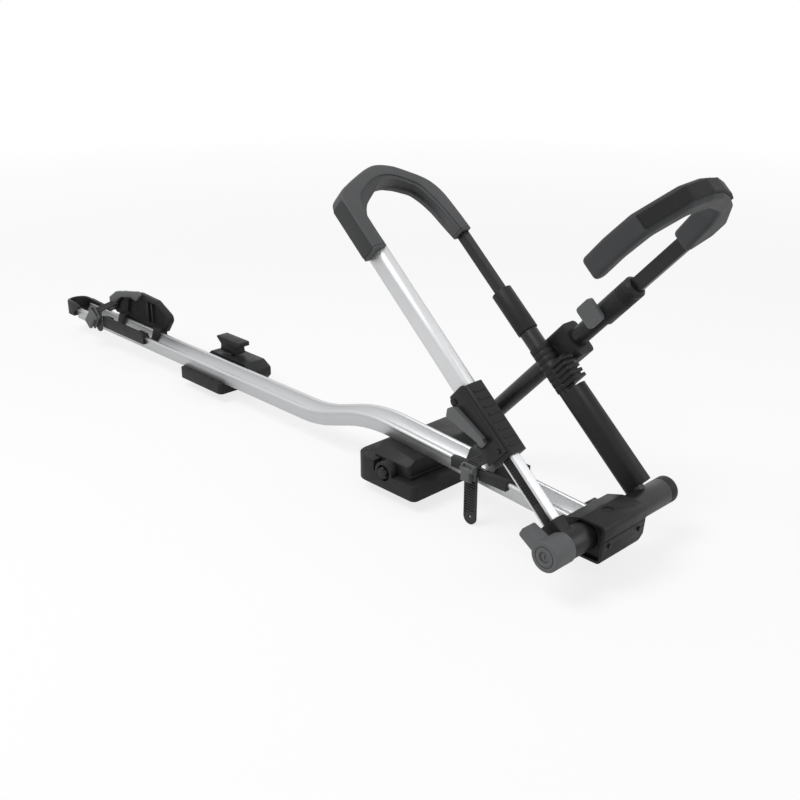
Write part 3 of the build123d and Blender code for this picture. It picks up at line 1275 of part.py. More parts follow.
def make_holder():
    """Sliding cradle for the rear wheel: near skirt, arched far wall, saddle bands and grip."""
    half = tray_half + holder_wall
    rim_z = tray_rear_z + tray_height
    far_inner = tray_half + seat_gap
    far_outer = tray_half + holder_far_thickness
    envelope = tray_envelope(holder_rear_x - holder_band * 2, tray_rear_z,
                             holder_front_x + overrun, tray_rear_z)
    skirt_points = [(holder_rear_x, holder_skirt_low_z), (holder_skirt_front_x, holder_skirt_low_z),
                    (holder_skirt_front_x, holder_skirt_top_z), (holder_rear_x, holder_skirt_top_z)]
    skirt = prism_y(skirt_points, -half, -tray_half - seat_gap, strap_bend / 2)
    length = holder_front_x - holder_rear_x
    rise = holder_arch_top_z - rim_z
    arch_points = [(holder_rear_x + x * length, rim_z + z * rise) for x, z in arch_outer_shares]
    window_points = [(holder_rear_x + x * length, rim_z + z * rise) for x, z in arch_window_shares]
    wall = prism_y(arch_points, far_inner, far_outer, holder_round)
    window = prism_y(window_points, far_inner - overrun, far_outer - holder_panel, strap_bend / 2)
    wall -= window
    for index in range(holder_rib_count):
        x = holder_rear_x + length / 2 + holder_rib_pitch * index
        wall += block(x, x + holder_wall, far_inner, far_outer, rim_z, rim_z + rise * holder_rib_share)
    lower_far = block(holder_rear_x, holder_skirt_front_x, far_inner, far_outer, holder_skirt_low_z,
                      rim_z + seat_gap * 2)
    body = skirt + wall + lower_far
    floor_z = tray_rear_z + tray_floor_z
    section = [(-half, holder_skirt_low_z), (-half, holder_skirt_top_z),
               (-tray_floor_half * 2, holder_skirt_top_z - holder_wall / 2),
               (-tray_floor_half, floor_z + holder_floor), (tray_floor_half, floor_z + holder_floor),
               (tray_floor_half * 2, holder_skirt_top_z - holder_wall / 2),
               (far_outer, holder_skirt_top_z), (far_outer, holder_skirt_low_z)]
    for start in (holder_rear_x, holder_skirt_front_x - holder_band):
        body += prism_x(section, start, start + holder_band) - envelope
    keep("rear_wheel_cradle", body)
    grip_points = [(holder_rear_x + x * length, rim_z + z * rise) for x, z in grip_shares]
    grip = prism_y(grip_points, far_inner - holder_far_thickness, far_inner, holder_wall / 2)
    grip &= block(holder_rear_x - length, holder_front_x, 0, far_outer, rim_z + seat_gap,
                  holder_arch_top_z + length)
    keep("holder_grip", grip - body)
    x0 = holder_rear_x - strap_width
    crest = holder_skirt_top_z + strap_lift * 4
    side = half + seat_gap + strap_thickness / 2
    route = [(far_inner - holder_far_thickness - strap_thickness, crest + strap_bend),
             (-side, crest), (-side, holder_skirt_low_z - strap_width / 2)]
    strap = ladder_strap(route, x0, x0 + strap_width - seat_gap, strap_thickness)
    keep("rear_strap", strap)


keep("tray_rail", make_tray())
keep("tray_end_cap", make_end_cap())
make_head()
make_shaft()
make_near_leg()
make_collar()
make_hoop()
make_far_leg()
make_cross_block()
make_second_arm()
make_hook()
make_front_foot()
make_rear_foot()
make_front_saddle()
make_front_strap()
make_holder()
flat_on_side = Rot(90, 0, 0) * Rot(0, 0, -90)
buckle_y = -tray_half - saddle_wall - strap_thickness - buckle_out
make_buckle("front", Pos(front_buckle_x, buckle_y, front_buckle_z) * flat_on_side,
            front_buckle_length, front_buckle_width)
make_buckle("rear", Pos(rear_buckle_x, buckle_y, rear_buckle_z) * Rot(0, rear_buckle_tilt, 0) * flat_on_side,
            rear_buckle_length, rear_buckle_width)

os.makedirs("parts", exist_ok=True)
for name, shape in nodes.items():
    export_step(shape, f"parts/{name}.step")
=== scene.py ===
"""Looks for the roof mounted bike carrier: materials, softened edges, straps and small trim.

All lengths are metres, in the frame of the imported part: X forward along the tray,
Y to the far side, Z up from the front crossbar.
"""
import json
import math

import bmesh
import bpy
from mathutils import Matrix, Vector


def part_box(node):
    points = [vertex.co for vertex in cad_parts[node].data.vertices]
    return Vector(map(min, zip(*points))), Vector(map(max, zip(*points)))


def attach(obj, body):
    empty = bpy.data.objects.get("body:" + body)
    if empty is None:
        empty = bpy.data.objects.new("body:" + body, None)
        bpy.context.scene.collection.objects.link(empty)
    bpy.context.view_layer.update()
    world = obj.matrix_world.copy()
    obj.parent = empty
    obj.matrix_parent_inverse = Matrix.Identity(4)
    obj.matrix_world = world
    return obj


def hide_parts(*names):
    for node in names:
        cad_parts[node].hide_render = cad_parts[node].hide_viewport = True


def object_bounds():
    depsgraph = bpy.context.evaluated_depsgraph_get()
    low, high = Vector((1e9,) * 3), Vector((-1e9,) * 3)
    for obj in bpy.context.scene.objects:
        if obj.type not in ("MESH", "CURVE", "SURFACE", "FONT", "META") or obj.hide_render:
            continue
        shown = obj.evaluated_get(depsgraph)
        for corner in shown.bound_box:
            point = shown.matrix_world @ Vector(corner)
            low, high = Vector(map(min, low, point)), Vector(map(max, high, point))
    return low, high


MM = 0.001

# Camera and studio
CAMERA_PLACE = Vector((1.2193, -1.2122, 0.8558))
CAMERA_AZIMUTH = math.radians(46.0)
CAMERA_ELEVATION = math.radians(22.5)
CAMERA_LENS = 48.82
CAMERA_SENSOR = 36.0
FLOOR_HALF = 60.0
FLOOR_GAP = 1.0 * MM
FLOOR_SHADE_SHARE = 0.22
FLOOR_FADE_START = 1.6
FLOOR_FADE_END = 4.0
WORLD_LEVEL = 0.50
KEY_POWER = 50.0
KEY_SIZE = 1.6
KEY_PLACE = Vector((-0.5, -1.5, 2.7))
FILL_POWER = 14.0
FILL_SIZE = 1.8
FILL_PLACE = Vector((2.2, 0.9, 1.4))
LIGHT_AIM = Vector((-0.3, 0.0, 0.2))

# Frame of the first arm's legs, as the CAD has it
LEG_TILT = math.radians(42.0)
ARM_FRAME = Matrix.Translation((0.400, 0.0, 0.060)) @ Matrix.Rotation(LEG_TILT, 4, "Y")

# Ladder straps
STRAP_THICKNESS = 3.0 * MM
STRAP_BEND = 8.0 * MM
STRAP_BEND_STEPS = 8
STRAP_PITCH = 4.8 * MM
STRAP_RAIL = 2.6 * MM
STRAP_TAIL = 17.0 * MM
STRAP_TAIL_TURN = 6
STRAP_HOLE = 2.5 * MM
STRAP_HOLE_SIDES = 28
FRONT_STRAP_DROP = 21.5 * MM
REAR_STRAP_START = (13.3 * MM, 85.0 * MM)
REAR_STRAP_CREST = 77.0 * MM
# One tooth: places along its pitch as shares, and heights as shares of half the strap's thickness
TOOTH_STEPS = ((0.0, -0.75), (0.10, 0.95), (0.46, 1.0), (0.60, -0.75))

# Hoop head, in millimetres of the leg's frame: along the leg and across it, outside and at the mouth,
# then how far the mouth's wall leans in, how deep that slope reaches and how deep the pocket is
HOOP_STATIONS = (
    (532, -109, 532, -82.5, 1, 14, 0), (560, -109, 560, -83, 5, 14, 0), (590, -109, 590, -82.5, 10, 14, 0),
    (612, -109, 608, -80.5, 15, 14, 0), (630, -108.5, 622, -75.5, 19, 14, 0),
    (645, -100, 633, -68, 22, 14, 0),
    (657, -78, 643, -53, 20, 13, 0), (668, -53, 651, -38, 16, 12, 0), (678, -27, 657.5, -20, 11, 9, 0),
    (682.5, -6, 660, -5, 8, 6, 0), (680.5, 12, 658.5, 12, 6, 4, 0.5), (675, 30, 654.5, 24, 5, 4, 2.5),
    (668, 46, 650, 35, 4, 4, 4.5), (660, 62, 642, 51, 4, 4, 6), (651, 79, 634, 64, 4, 4, 6.5),
    (640, 94, 620, 74, 4, 4, 6.5), (626, 104.5, 605, 81, 4, 4, 6), (608, 111, 590, 86, 4, 4, 5),
    (580, 114.5, 570, 90, 4, 4, 3), (555, 116.5, 550, 93, 3, 4, 0.5), (532, 118, 532, 95, 1, 4, 0),
)
HOOP_BETWEEN = 5
HOOP_BACK = -13.0
HOOP_FRONT_NEAR = 24.0
HOOP_FRONT_FAR = 16.0
HOOP_TAPER = (33.0, 109.0)
HOOP_OUTER_ROUND = 5.5
HOOP_BACK_ROUND = 4.0
HOOP_MOUTH_ROUND = 1.6
HOOP_POCKET_FLOOR = 9.0
HOOP_POCKET_SLOPE = 1.0
HOOP_NOTCH = ((0.4, -2.6), (-1.3, -2.3), (-1.3, -1.5))
# Lip at each end of the hoop: distances from the end and insets of the section there
HOOP_LIP = ((0.0, 1.2), (0.9, 0.0), (5.2, 0.0), (5.6, 0.8), (6.4, 0.8), (6.8, 0.0))
PANEL_BOX = ((534.0, -9.5), (630.0, 20.5))
PANEL_ROUND = 4.0
PANEL_HEIGHT = 1.4
PANEL_SINK = 2.0

# Bore for the near tube and core between the far collar's fins: across and off the leg's plane,
# then along the leg, in the same frame
TUBE_BOX = ((-98.0, -19.0), (-72.0, 19.0))
TUBE_ROUND = 9.0
TUBE_REACH = (520.0, 612.0)
FIN_WEB_BOX = ((94.5, 6.0), (119.5, 37.0))
FIN_WEB_ROUND = 8.0
FIN_WEB_REACH = (215.6, 257.0)

# Skins over CAD forms
PAD_VOXEL = 1.1 * MM
PAD_RELAX = 6
HOOK_VOXEL = 1.4 * MM
HOOK_RELAX = 14
RELAX_SHARE = 0.5

# Edges
WELD = 0.001 * MM
SPLIT_ANGLE = math.radians(32.0)
EDGE_ANGLE = math.radians(38.0)
EDGE_WIDTH = 0.7 * MM
FINE_EDGE_WIDTH = 0.3 * MM

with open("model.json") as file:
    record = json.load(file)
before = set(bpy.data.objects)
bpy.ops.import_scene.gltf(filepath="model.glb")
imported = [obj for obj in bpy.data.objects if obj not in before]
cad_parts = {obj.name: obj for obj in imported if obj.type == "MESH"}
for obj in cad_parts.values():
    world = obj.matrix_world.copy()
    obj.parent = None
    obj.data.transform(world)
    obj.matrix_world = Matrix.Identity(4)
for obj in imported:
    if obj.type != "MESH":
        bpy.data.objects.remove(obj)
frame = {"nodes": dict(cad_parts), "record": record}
cad_low, cad_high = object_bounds()
nodes = frame["nodes"]
slot_of = {part["node"]: part["material_slot"] for part in frame["record"]["subparts"]}


class Finish:
    """A node material around one Principled shader, with layered procedural detail."""

    def __init__(self, name, color, roughness, metallic=0.0, tilt=0.0):
        self.material = bpy.data.materials.new(name)
        self.material.use_nodes = True
        self.tree = self.material.node_tree
        self.shader = self.tree.nodes["Principled BSDF"]
        self.color = color
        self.set("Base Color", (*color, 1.0))
        self.set("Roughness", roughness)
        self.set("Metallic", metallic)
        place = self.tree.nodes.new("ShaderNodeTexCoord")
        turn = self.tree.nodes.new("ShaderNodeMapping")
        turn.inputs["Rotation"].default_value = (0.0, tilt, 0.0)
        self.tree.links.new(place.outputs["Object"], turn.inputs["Vector"])
        self.place = turn.outputs["Vector"]
        self.normal = None

    def set(self, socket, value):
        self.shader.inputs[socket].default_value = value

    def noise(self, scale, detail=3.0, stretch=(1.0, 1.0, 1.0)):
        """Noise over the object, stretched along the tilted axes."""
        mapping = self.tree.nodes.new("ShaderNodeMapping")
        mapping.inputs["Scale"].default_value = stretch
        texture = self.tree.nodes.new("ShaderNodeTexNoise")
        texture.inputs["Scale"].default_value = scale
        texture.inputs["Detail"].default_value = detail
        self.tree.links.new(self.place, mapping.inputs["Vector"])
        self.tree.links.new(mapping.outputs["Vector"], texture.inputs["Vector"])
        return texture.outputs["Fac"]

    def ranged(self, value, low, high, start=0.3, end=0.7):
        node = self.tree.nodes.new("ShaderNodeMapRange")
        node.inputs["From Min"].default_value = start
        node.inputs["From Max"].default_value = end
        node.inputs["To Min"].default_value = low
        node.inputs["To Max"].default_value = high
        self.tree.links.new(value, node.inputs["Value"])
        return node.outputs["Result"]

    def tone(self, value, lighter, start=0.3, end=0.7):
        """Colour drifts from the base towards a lighter shade of it."""
        mix = self.tree.nodes.new("ShaderNodeMix")
        mix.data_type = "RGBA"
        mix.inputs["A"].default_value = (*self.color, 1.0)
        mix.inputs["B"].default_value = (*(channel * lighter for channel in self.color), 1.0)
        self.tree.links.new(self.ranged(value, 0.0, 1.0, start, end), mix.inputs["Factor"])
        self.tree.links.new(mix.outputs["Result"], self.shader.inputs["Base Color"])

    def rough(self, value, low, high):
        self.tree.links.new(self.ranged(value, low, high), self.shader.inputs["Roughness"])

    def bump(self, value, depth, strength=1.0):
        """Raises the surface by a height pattern, on top of any bump before it."""
        node = self.tree.nodes.new("ShaderNodeBump")
        node.inputs["Strength"].default_value = strength
        node.inputs["Distance"].default_value = depth
        self.tree.links.new(value, node.inputs["Height"])
        if self.normal:
            self.tree.links.new(self.normal, node.inputs["Normal"])
        self.normal = node.outputs["Normal"]
        self.tree.links.new(self.normal, self.shader.inputs["Normal"])


def moulded(name, color, roughness, grain=1100.0, depth=0.05 * MM):
    """Black or grey plastic with a fine moulded grain, faint flow marks and handling sheen."""
    finish = Finish(name, color, roughness)
    finish.set("Specular IOR Level", 0.26)
    finish.tone(finish.noise(14.0), 1.22)
    finish.rough(finish.noise(38.0, 5.0), roughness - 0.07, roughness + 0.09)
    finish.bump(finish.noise(grain, 2.0), depth, 0.5)
    return finish.material


def soft_touch(name, color):
    """Rubbery overmoulding: matt, with a velvety grain and slight unevenness."""
    finish = Finish(name, color, 0.66)
    finish.set("Specular IOR Level", 0.2)
    finish.set("Sheen Weight", 0.05)
    finish.set("Sheen Roughness", 0.5)
    finish.tone(finish.noise(9.0), 1.25)
    finish.rough(finish.noise(30.0, 4.0), 0.56, 0.74)
    finish.bump(finish.noise(1700.0, 2.0), 0.04 * MM, 0.45)
    finish.bump(finish.noise(60.0, 2.0), 0.12 * MM, 0.25)
    return finish.material


def anodised(name, color, tilt):
    """Satin anodised extrusion with die lines along its length."""
    finish = Finish(name, color, 0.3, 1.0, tilt)
    lines = finish.noise(1.0, 3.0, (2.0, 1400.0, 1400.0))
    finish.tone(finish.noise(1.0, 2.0, (1.2, 25.0, 25.0)), 1.03)
    finish.rough(lines, 0.36, 0.46)
    finish.bump(lines, 0.006 * MM, 0.2)
    return finish.material


def coated(name, color):
    """Powder coated tube: satin black with a slight orange peel."""
    finish = Finish(name, color, 0.4)
    finish.set("Specular IOR Level", 0.3)
    finish.set("Coat Weight", 0.16)
    finish.set("Coat Roughness", 0.22)
    finish.tone(finish.noise(7.0), 1.2)
    finish.rough(finish.noise(24.0, 5.0), 0.34, 0.47)
    finish.bump(finish.noise(420.0, 2.0), 0.06 * MM, 0.3)
    return finish.material


def plated(name, color, roughness):
    """Zinc plated fastener with fine turning marks."""
    finish = Finish(name, color, roughness, 1.0)
    finish.tone(finish.noise(160.0), 0.8)
    finish.rough(finish.noise(300.0, 4.0), roughness - 0.08, roughness + 0.12)
    finish.bump(finish.noise(900.0, 3.0), 0.03 * MM, 0.4)
    return finish.material


def make_finishes():
    return {
        "aluminium": anodised("aluminium_tray", (0.58, 0.584, 0.592), 0.0),
        "aluminium_arm": anodised("aluminium_arm", (0.64, 0.644, 0.652), LEG_TILT),
        "black_plastic": moulded("black_plastic", (0.0105, 0.0108, 0.0115), 0.46),
        "black_metal": coated("black_metal", (0.0085, 0.0088, 0.0095)),
        "grey_plastic": moulded("grey_plastic", (0.094, 0.096, 0.098), 0.5),
        "hoop_rubber": soft_touch("hoop_rubber", (0.066, 0.067, 0.069)),
        # Side panel rubber is darker than the hoop: partly its own colour, partly painted shade for a side
        # face the lamps also light
        "painted_shade_panel_rubber": soft_touch("painted_shade_panel_rubber", (0.032, 0.033, 0.034)),
        "soft_black": soft_touch("soft_black", (0.040, 0.041, 0.043)),
        "pad_rubber": soft_touch("pad_rubber", (0.0105, 0.0108, 0.0115)),
        "saddle_plastic": moulded("saddle_plastic", (0.020, 0.0205, 0.0215), 0.5),
        "strap": soft_touch("strap_rubber", (0.030, 0.030, 0.031)),
        "steel": plated("plated_steel", (0.45, 0.46, 0.48), 0.34),
        "dark_steel": plated("blackened_steel", (0.035, 0.036, 0.038), 0.38),
    }


def soften(piece, width=EDGE_WIDTH, segments=2):
    """Rounds the edges of a CAD node and shades what is left smooth, leaving its mesh alone."""
    for polygon in piece.data.polygons:
        polygon.use_smooth = True
    weld = piece.modifiers.new("weld", "WELD")
    weld.merge_threshold = WELD
    if width:
        bevel = piece.modifiers.new("edges", "BEVEL")
        bevel.width = width
        bevel.segments = segments
        bevel.limit_method = "ANGLE"
        bevel.angle_limit = EDGE_ANGLE
        bevel.use_clamp_overlap = True
    split = piece.modifiers.new("creases", "EDGE_SPLIT")
    split.split_angle = SPLIT_ANGLE


def dress_cad(finishes):
    """Gives every CAD node its finish and soft edges."""
    own_finish = {"near_upper_tube": "aluminium_arm", "near_lower_bar": "aluminium_arm",
                  "lock_cylinder": "grey_plastic", "front_wheel_saddle": "saddle_plastic",
                  "head_screws": "dark_steel", "collar_screws": "dark_steel", "collar_pins": "dark_steel",
                  "front_claw_pins": "dark_steel", "rear_claw_pins": "dark_steel"}
    own_width = {"cross_collar": FINE_EDGE_WIDTH, "coupling_sleeve": FINE_EDGE_WIDTH,
                 "size_sleeve": FINE_EDGE_WIDTH, "ratchet_rack": FINE_EDGE_WIDTH,
                 "collar_shell": FINE_EDGE_WIDTH}
    for name, piece in nodes.items():
        finish = finishes[own_finish.get(name, slot_of[name])]
        piece.data.materials.clear()
        piece.data.materials.append(finish)
        soften(piece, own_width.get(name, EDGE_WIDTH))


def add_piece(name, mesh, finish, body, width=0.0):
    """Links a mesh as a smooth piece that rides on a body and takes the finish it is given."""
    piece = bpy.data.objects.new(name, mesh)
    bpy.context.scene.collection.objects.link(piece)
    mesh.materials.clear()
    mesh.materials.append(finish)
    soften(piece, width)
    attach(piece, body)
    return piece


def settled(piece):
    """Mesh of a piece with its modifiers applied."""
    graph = bpy.context.evaluated_depsgraph_get()
    graph.update()
    return bpy.data.meshes.new_from_object(piece.evaluated_get(graph))


def closed_mesh(name, points, count):
    """Closed mesh over rings of as many points, with its faces turned outwards."""
    faces = []
    for start in range(0, len(points) - count, count):
        for side in range(count):
            a, b = start + side, start + (side + 1) % count
            faces.append((a, b, b + count, a + count))
    faces.append(tuple(range(count))[::-1])
    faces.append(tuple(range(len(points) - count, len(points))))
    mesh = bpy.data.meshes.new(name)
    mesh.from_pydata(points, [], faces)
    shape = bmesh.new()
    shape.from_mesh(mesh)
    bmesh.ops.recalc_face_normals(shape, faces=shape.faces)
    shape.to_mesh(mesh)
    shape.free()
    return mesh


def rounded_line(route, bend):
    """Points of a route in Y and Z with every corner turned on an arc."""
    points = [Vector(route[0])]
    for before, corner, after in zip(route, route[1:], route[2:]):
        corner = Vector(corner)
        back = (Vector(before) - corner).normalized()
        on = (Vector(after) - corner).normalized()
        turn = math.pi - back.angle(on)
        reach = bend * math.tan(turn / 2)
        start, end = corner + back * reach, corner + on * reach
        for step in range(STRAP_BEND_STEPS + 1):
            share = step / STRAP_BEND_STEPS
            straight = start.lerp(end, share)
            pull = corner - straight
            points.append(straight + pull * (2 * share * (1 - share)))
    points.append(Vector(route[-1]))
    return points


def walk(points):
    """Lengths along a line of points, and a function for the place and heading at a length."""
    runs = [(b - a).length for a, b in zip(points, points[1:])]
    total = sum(runs)

    def at(length):
        left = min(max(length, 0.0), total)
        for a, b, run in zip(points, points[1:], runs):
            if left <= run or b is points[-1]:
                return a.lerp(b, left / run), (b - a).normalized()
            left -= run

    return total, at


def strap_mesh(name, route, x0, x1):
    """Ladder strap with side rails, sloping ratchet teeth and a rounded tail."""
    total, at = walk(rounded_line(route, STRAP_BEND))
    half, thick, middle = (x1 - x0) / 2, STRAP_THICKNESS / 2, (x0 + x1) / 2
    rows = []
    teeth_end = total - STRAP_TAIL
    for tooth in range(int(teeth_end / STRAP_PITCH)):
        rows += [((tooth + share) * STRAP_PITCH, level) for share, level in TOOTH_STEPS]
    rows += [(teeth_end, 1.0)]
    turns = range(0, 90, STRAP_TAIL_TURN)
    rows += [(total - half * (1 - math.sin(math.radians(angle))), 1.0) for angle in turns]
    points = []
    for length, level in rows:
        place, heading = at(length)
        out = Vector((heading.y, -heading.x))
        left = total - length
        wide = math.sqrt(max(half * half - max(half - left, 0.0) ** 2, 0.0))
        rail = min(STRAP_RAIL, wide / 2)
        section = ((-wide, -1.0), (wide, -1.0), (wide, 1.0), (wide - rail, 1.0), (wide - rail, level),
                   (rail - wide, level), (rail - wide, 1.0), (-wide, 1.0))
        for across, rise in section:
            spot = place + out * (rise * thick)
            points.append((middle + across, spot.x, spot.y))
    return closed_mesh(name, points, len(section))


def carved(mesh, cutter):
    """The mesh less the cutter's shape; the cutter goes."""
    solid = bpy.data.objects.new("solid", mesh)
    bpy.context.scene.collection.objects.link(solid)
    cut = solid.modifiers.new("cut", "BOOLEAN")
    cut.operation = "DIFFERENCE"
    cut.solver = "EXACT"
    cut.object = cutter
    result = settled(solid)
    bpy.data.objects.remove(solid)
    bpy.data.objects.remove(cutter)
    return result


def drilled(mesh, centre, radius, reach):
    """The mesh with a round hole through it along Y."""
    bpy.ops.mesh.primitive_cylinder_add(vertices=STRAP_HOLE_SIDES, radius=radius, depth=reach,
                                        location=centre, rotation=(math.pi / 2, 0, 0))
    return carved(mesh, bpy.context.object)


def make_strap(name, node, body, route):
    low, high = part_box(node)
    mesh = strap_mesh(name, route, low.x, high.x)
    middle = (low.x + high.x) / 2
    hole = (middle, route[-1][0], route[-1][1] + (high.x - low.x) / 2)
    strap = add_piece(name, drilled(mesh, hole, STRAP_HOLE, 4 * STRAP_THICKNESS), finishes["strap"], body,
                      0.25 * MM)
    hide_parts(node)


def make_straps():
    """The two ladder straps along the routes of their CAD solids."""
    thick = STRAP_THICKNESS / 2
    low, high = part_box("front_strap")
    side, crest = high.y - thick, high.z - thick
    make_strap("front_wheel_strap", "front_strap", "root",
               [(side, crest - FRONT_STRAP_DROP), (side, crest), (-side, crest), (-side, low.z)])
    low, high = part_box("rear_strap")
    side = -low.y - thick
    make_strap("rear_wheel_strap", "rear_strap", "rear_holder",
               [REAR_STRAP_START, (-side, REAR_STRAP_CREST), (-side, low.z)])


def corner(place, turn_start, turn_end, round_by, steps=4):
    """Points of a rounded corner; the turns are angles of the outward direction in degrees."""
    across, rise = place
    points = []
    for step in range(steps + 1):
        angle = math.radians(turn_start + (turn_end - turn_start) * step / steps)
        points.append((across + round_by * math.cos(angle), rise + round_by * math.sin(angle)))
    return points


def hoop_station(place):
    """The hoop's station at a place between the listed ones, on a smooth curve through them."""
    index = min(int(place), len(HOOP_STATIONS) - 2)
    share = place - index
    before = HOOP_STATIONS[max(index - 1, 0)]
    start, end = HOOP_STATIONS[index], HOOP_STATIONS[index + 1]
    after = HOOP_STATIONS[min(index + 2, len(HOOP_STATIONS) - 1)]
    values = []
    for a, b, c, d in zip(before, start, end, after):
        lift, drop = (c - a) / 2, (d - b) / 2
        values.append(b + share * (lift + share * (3 * (c - b) - 2 * lift - drop
                                                   + share * (2 * (b - c) + lift + drop))))
    return values


def hoop_section(station, inset):
    """Corner-rounded section of the hoop: distances from its outside and heights off the leg's plane."""
    outer_s, outer_y, mouth_s, mouth_y, lean, slope, pocket = station
    width = math.hypot(outer_s - mouth_s, outer_y - mouth_y)
    start, end = HOOP_TAPER
    share = min(max((outer_y - start) / (end - start), 0.0), 1.0)
    front = HOOP_FRONT_NEAR + (HOOP_FRONT_FAR - HOOP_FRONT_NEAR) * share - inset
    back, inner = HOOP_BACK + inset, width + lean - inset
    low, high = back + HOOP_POCKET_FLOOR, front - slope - HOOP_POCKET_SLOPE
    edge, rim, lip = HOOP_OUTER_ROUND, HOOP_BACK_ROUND, HOOP_MOUTH_ROUND
    section = corner((edge + inset, front - edge), 90, 180, edge)
    section += corner((edge + inset, back + edge), 180, 270, edge)
    section += corner((inner - rim, back + rim), 270, 360, rim)
    section += [(inner, low), (inner - pocket, low + HOOP_POCKET_SLOPE),
                (inner - pocket, high - HOOP_POCKET_SLOPE), (inner, high), (inner, front - slope)]
    section += [(width - inset + across, front + rise) for across, rise in HOOP_NOTCH]
    section += corner((width - inset - lip, front - lip), 20, 90, lip)
    return section


def leg_point(along, across, rise):
    """Place of a point given in the leg's frame in millimetres."""
    return ARM_FRAME @ Vector((-along * MM, across * MM, rise * MM))


def rounded_box(low, high, round_by):
    """Outline of a box with round corners."""
    (low_x, low_y), (high_x, high_y) = low, high
    outline = corner((high_x - round_by, high_y - round_by), 0, 90, round_by)
    outline += corner((low_x + round_by, high_y - round_by), 90, 180, round_by)
    outline += corner((low_x + round_by, low_y + round_by), 180, 270, round_by)
    return outline + corner((high_x - round_by, low_y + round_by), 270, 360, round_by)


def leg_bar(name, box, round_by, reach):
    """Bar along the leg with a round-cornered section."""
    outline = rounded_box(*box, round_by)
    return closed_mesh(name, [leg_point(s, y, n) for s in reach for y, n in outline], len(outline))


def make_hoop():
    """Moulded hoop swept through its stations, with a lip at each end, and its side panel."""
    last = len(HOOP_STATIONS) - 1
    near_run = HOOP_STATIONS[1][0] - HOOP_STATIONS[0][0]
    far_run = HOOP_STATIONS[-2][0] - HOOP_STATIONS[-1][0]
    places = [(reach / near_run, inset) for reach, inset in HOOP_LIP]
    places += [(step / HOOP_BETWEEN, 0.0) for step in range(2, last * HOOP_BETWEEN - 1)]
    places += [(last - reach / far_run, inset) for reach, inset in HOOP_LIP[::-1]]
    points = []
    for place, inset in places:
        station = hoop_station(place)
        outer, mouth = Vector(station[0:2]), Vector(station[2:4])
        inward = (mouth - outer).normalized()
        section = hoop_section(station, inset)
        for distance, rise in section:
            spot = outer + inward * distance
            points.append(leg_point(spot.x, spot.y, rise))
    mesh = closed_mesh("hoop_moulding", points, len(section))
    bore = bpy.data.objects.new("bore", leg_bar("bore", TUBE_BOX, TUBE_ROUND, TUBE_REACH))
    bpy.context.scene.collection.objects.link(bore)
    hoop = add_piece("hoop_moulding", carved(mesh, bore), finishes["hoop_rubber"], "hoop")
    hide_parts("hoop_head")

    outline = rounded_box(*PANEL_BOX, PANEL_ROUND)
    side = HOOP_STATIONS[0][1]
    points = [leg_point(s, y, n) for y in (side + PANEL_SINK, side - PANEL_HEIGHT) for s, n in outline]
    mesh = closed_mesh("hoop_side_plate", points, len(outline))
    # The side plate takes the darker panel rubber, whose darkness is partly painted shade of the side face
    panel = add_piece("hoop_side_plate", mesh, finishes["painted_shade_panel_rubber"], "hoop", EDGE_WIDTH)
    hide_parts("hoop_side_panel")


def make_fin_web():
    """Solid core between the swivel collar's fins, which leaves them standing as shallow ribs."""
    mesh = leg_bar("fin_web", FIN_WEB_BOX, FIN_WEB_ROUND, FIN_WEB_REACH)
    add_piece("fin_web", mesh, finishes["black_plastic"], "first_arm", FINE_EDGE_WIDTH)


def relaxed(node, voxel, rounds):
    """Skin of a CAD node with its edges and facets worn round."""
    source = bpy.data.objects.new("source", nodes[node].data.copy())
    bpy.context.scene.collection.objects.link(source)
    source.modifiers.new("weld", "WELD").merge_threshold = WELD
    remesh = source.modifiers.new("skin", "REMESH")
    remesh.mode = "VOXEL"
    remesh.voxel_size = voxel
    relax = source.modifiers.new("relax", "SMOOTH")
    relax.factor = RELAX_SHARE
    relax.iterations = rounds
    mesh = settled(source)
    bpy.data.objects.remove(source)
    return mesh


def make_hook_skin():
    """Rubber skin of the hook head."""
    mesh = relaxed("hook_head", HOOK_VOXEL, HOOK_RELAX)
    skin = add_piece("hook_skin", mesh, finishes["soft_black"], "hook")
    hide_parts("hook_head")


def make_arch_pad():
    """Soft pad over the hook's arch: its CAD form with pulled-in, rounded edges."""
    mesh = relaxed("hook_pad", PAD_VOXEL, PAD_RELAX)
    pad = add_piece("arch_pad", mesh, finishes["pad_rubber"], "hook")
    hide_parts("hook_pad")


def make_floor(low):
    """Pale floor that keeps the shadow near the object and is white to the eye further out."""
    bpy.ops.mesh.primitive_plane_add(size=FLOOR_HALF + FLOOR_HALF, location=(0, 0, low.z - FLOOR_GAP))
    floor = bpy.context.object
    floor.name = "floor"
    finish = Finish("floor", (0.90, 0.90, 0.90), 0.95)
    finish.set("Specular IOR Level", 0.0)
    finish.tone(finish.noise(0.6), 1.01)
    tree = finish.tree
    white = tree.nodes.new("ShaderNodeEmission")
    reach = tree.nodes.new("ShaderNodeVectorMath")
    reach.operation = "LENGTH"
    tree.links.new(finish.place, reach.inputs[0])
    shade = finish.ranged(reach.outputs["Value"], 1.0 - FLOOR_SHADE_SHARE, 1.0, FLOOR_FADE_START,
                          FLOOR_FADE_END)
    path = tree.nodes.new("ShaderNodeLightPath")
    seen = tree.nodes.new("ShaderNodeMath")
    seen.operation = "MULTIPLY"
    tree.links.new(shade, seen.inputs[0])
    tree.links.new(path.outputs["Is Camera Ray"], seen.inputs[1])
    mix = tree.nodes.new("ShaderNodeMixShader")
    tree.links.new(seen.outputs["Value"], mix.inputs["Fac"])
    tree.links.new(finish.shader.outputs["BSDF"], mix.inputs[1])
    tree.links.new(white.outputs["Emission"], mix.inputs[2])
    tree.links.new(mix.outputs["Shader"], tree.nodes["Material Output"].inputs["Surface"])
    floor.data.materials.append(finish.material)


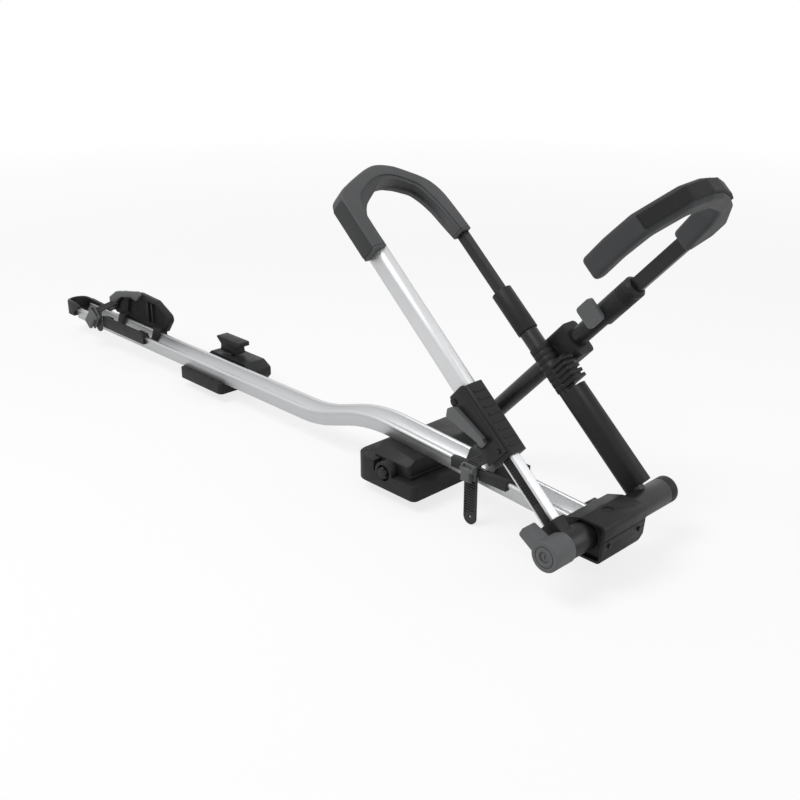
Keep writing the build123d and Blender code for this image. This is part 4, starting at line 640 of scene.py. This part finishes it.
def area_light(name, place, size, power):
    lamp = bpy.data.lights.new(name, "AREA")
    lamp.shape = "DISK"
    lamp.size = size
    lamp.energy = power
    holder = bpy.data.objects.new(name, lamp)
    bpy.context.scene.collection.objects.link(holder)
    holder.location = place
    holder.rotation_mode = "QUATERNION"
    holder.rotation_quaternion = (LIGHT_AIM - place).to_track_quat("-Z", "Y")


def make_studio(low):
    """Pale floor, white surroundings for the eye and the reflections, and two soft lamps."""
    make_floor(low)
    world = bpy.data.worlds.new("studio")
    bpy.context.scene.world = world
    world.use_nodes = True
    tree = world.node_tree
    light = tree.nodes["Background"]
    light.inputs["Color"].default_value = (1.0, 1.0, 1.0, 1.0)
    light.inputs["Strength"].default_value = WORLD_LEVEL
    seen = tree.nodes.new("ShaderNodeBackground")
    seen.inputs["Color"].default_value = (1.0, 1.0, 1.0, 1.0)
    path = tree.nodes.new("ShaderNodeLightPath")
    either = path.outputs["Is Camera Ray"]
    for ray in ("Is Glossy Ray", "Is Transmission Ray"):
        join = tree.nodes.new("ShaderNodeMath")
        join.operation = "MAXIMUM"
        tree.links.new(either, join.inputs[0])
        tree.links.new(path.outputs[ray], join.inputs[1])
        either = join.outputs["Value"]
    mix = tree.nodes.new("ShaderNodeMixShader")
    tree.links.new(either, mix.inputs["Fac"])
    tree.links.new(light.outputs["Background"], mix.inputs[1])
    tree.links.new(seen.outputs["Background"], mix.inputs[2])
    tree.links.new(mix.outputs["Shader"], tree.nodes["World Output"].inputs["Surface"])
    area_light("key", KEY_PLACE, KEY_SIZE, KEY_POWER)
    area_light("fill", FILL_PLACE, FILL_SIZE, FILL_POWER)
    bpy.context.scene.view_settings.view_transform = "Standard"


def make_camera():
    lens = bpy.data.cameras.new("camera")
    lens.lens = CAMERA_LENS
    lens.sensor_width = CAMERA_SENSOR
    camera = bpy.data.objects.new("camera", lens)
    bpy.context.scene.collection.objects.link(camera)
    level = math.cos(CAMERA_ELEVATION)
    aim = Vector((-math.sin(CAMERA_AZIMUTH) * level, math.cos(CAMERA_AZIMUTH) * level,
                  -math.sin(CAMERA_ELEVATION)))
    camera.location = CAMERA_PLACE
    camera.rotation_mode = "QUATERNION"
    camera.rotation_quaternion = aim.to_track_quat("-Z", "Y")
    bpy.context.scene.camera = camera


finishes = make_finishes()
dress_cad(finishes)
make_straps()
make_hoop()
make_fin_web()
make_hook_skin()
make_arch_pad()
make_studio(cad_low)
make_camera()
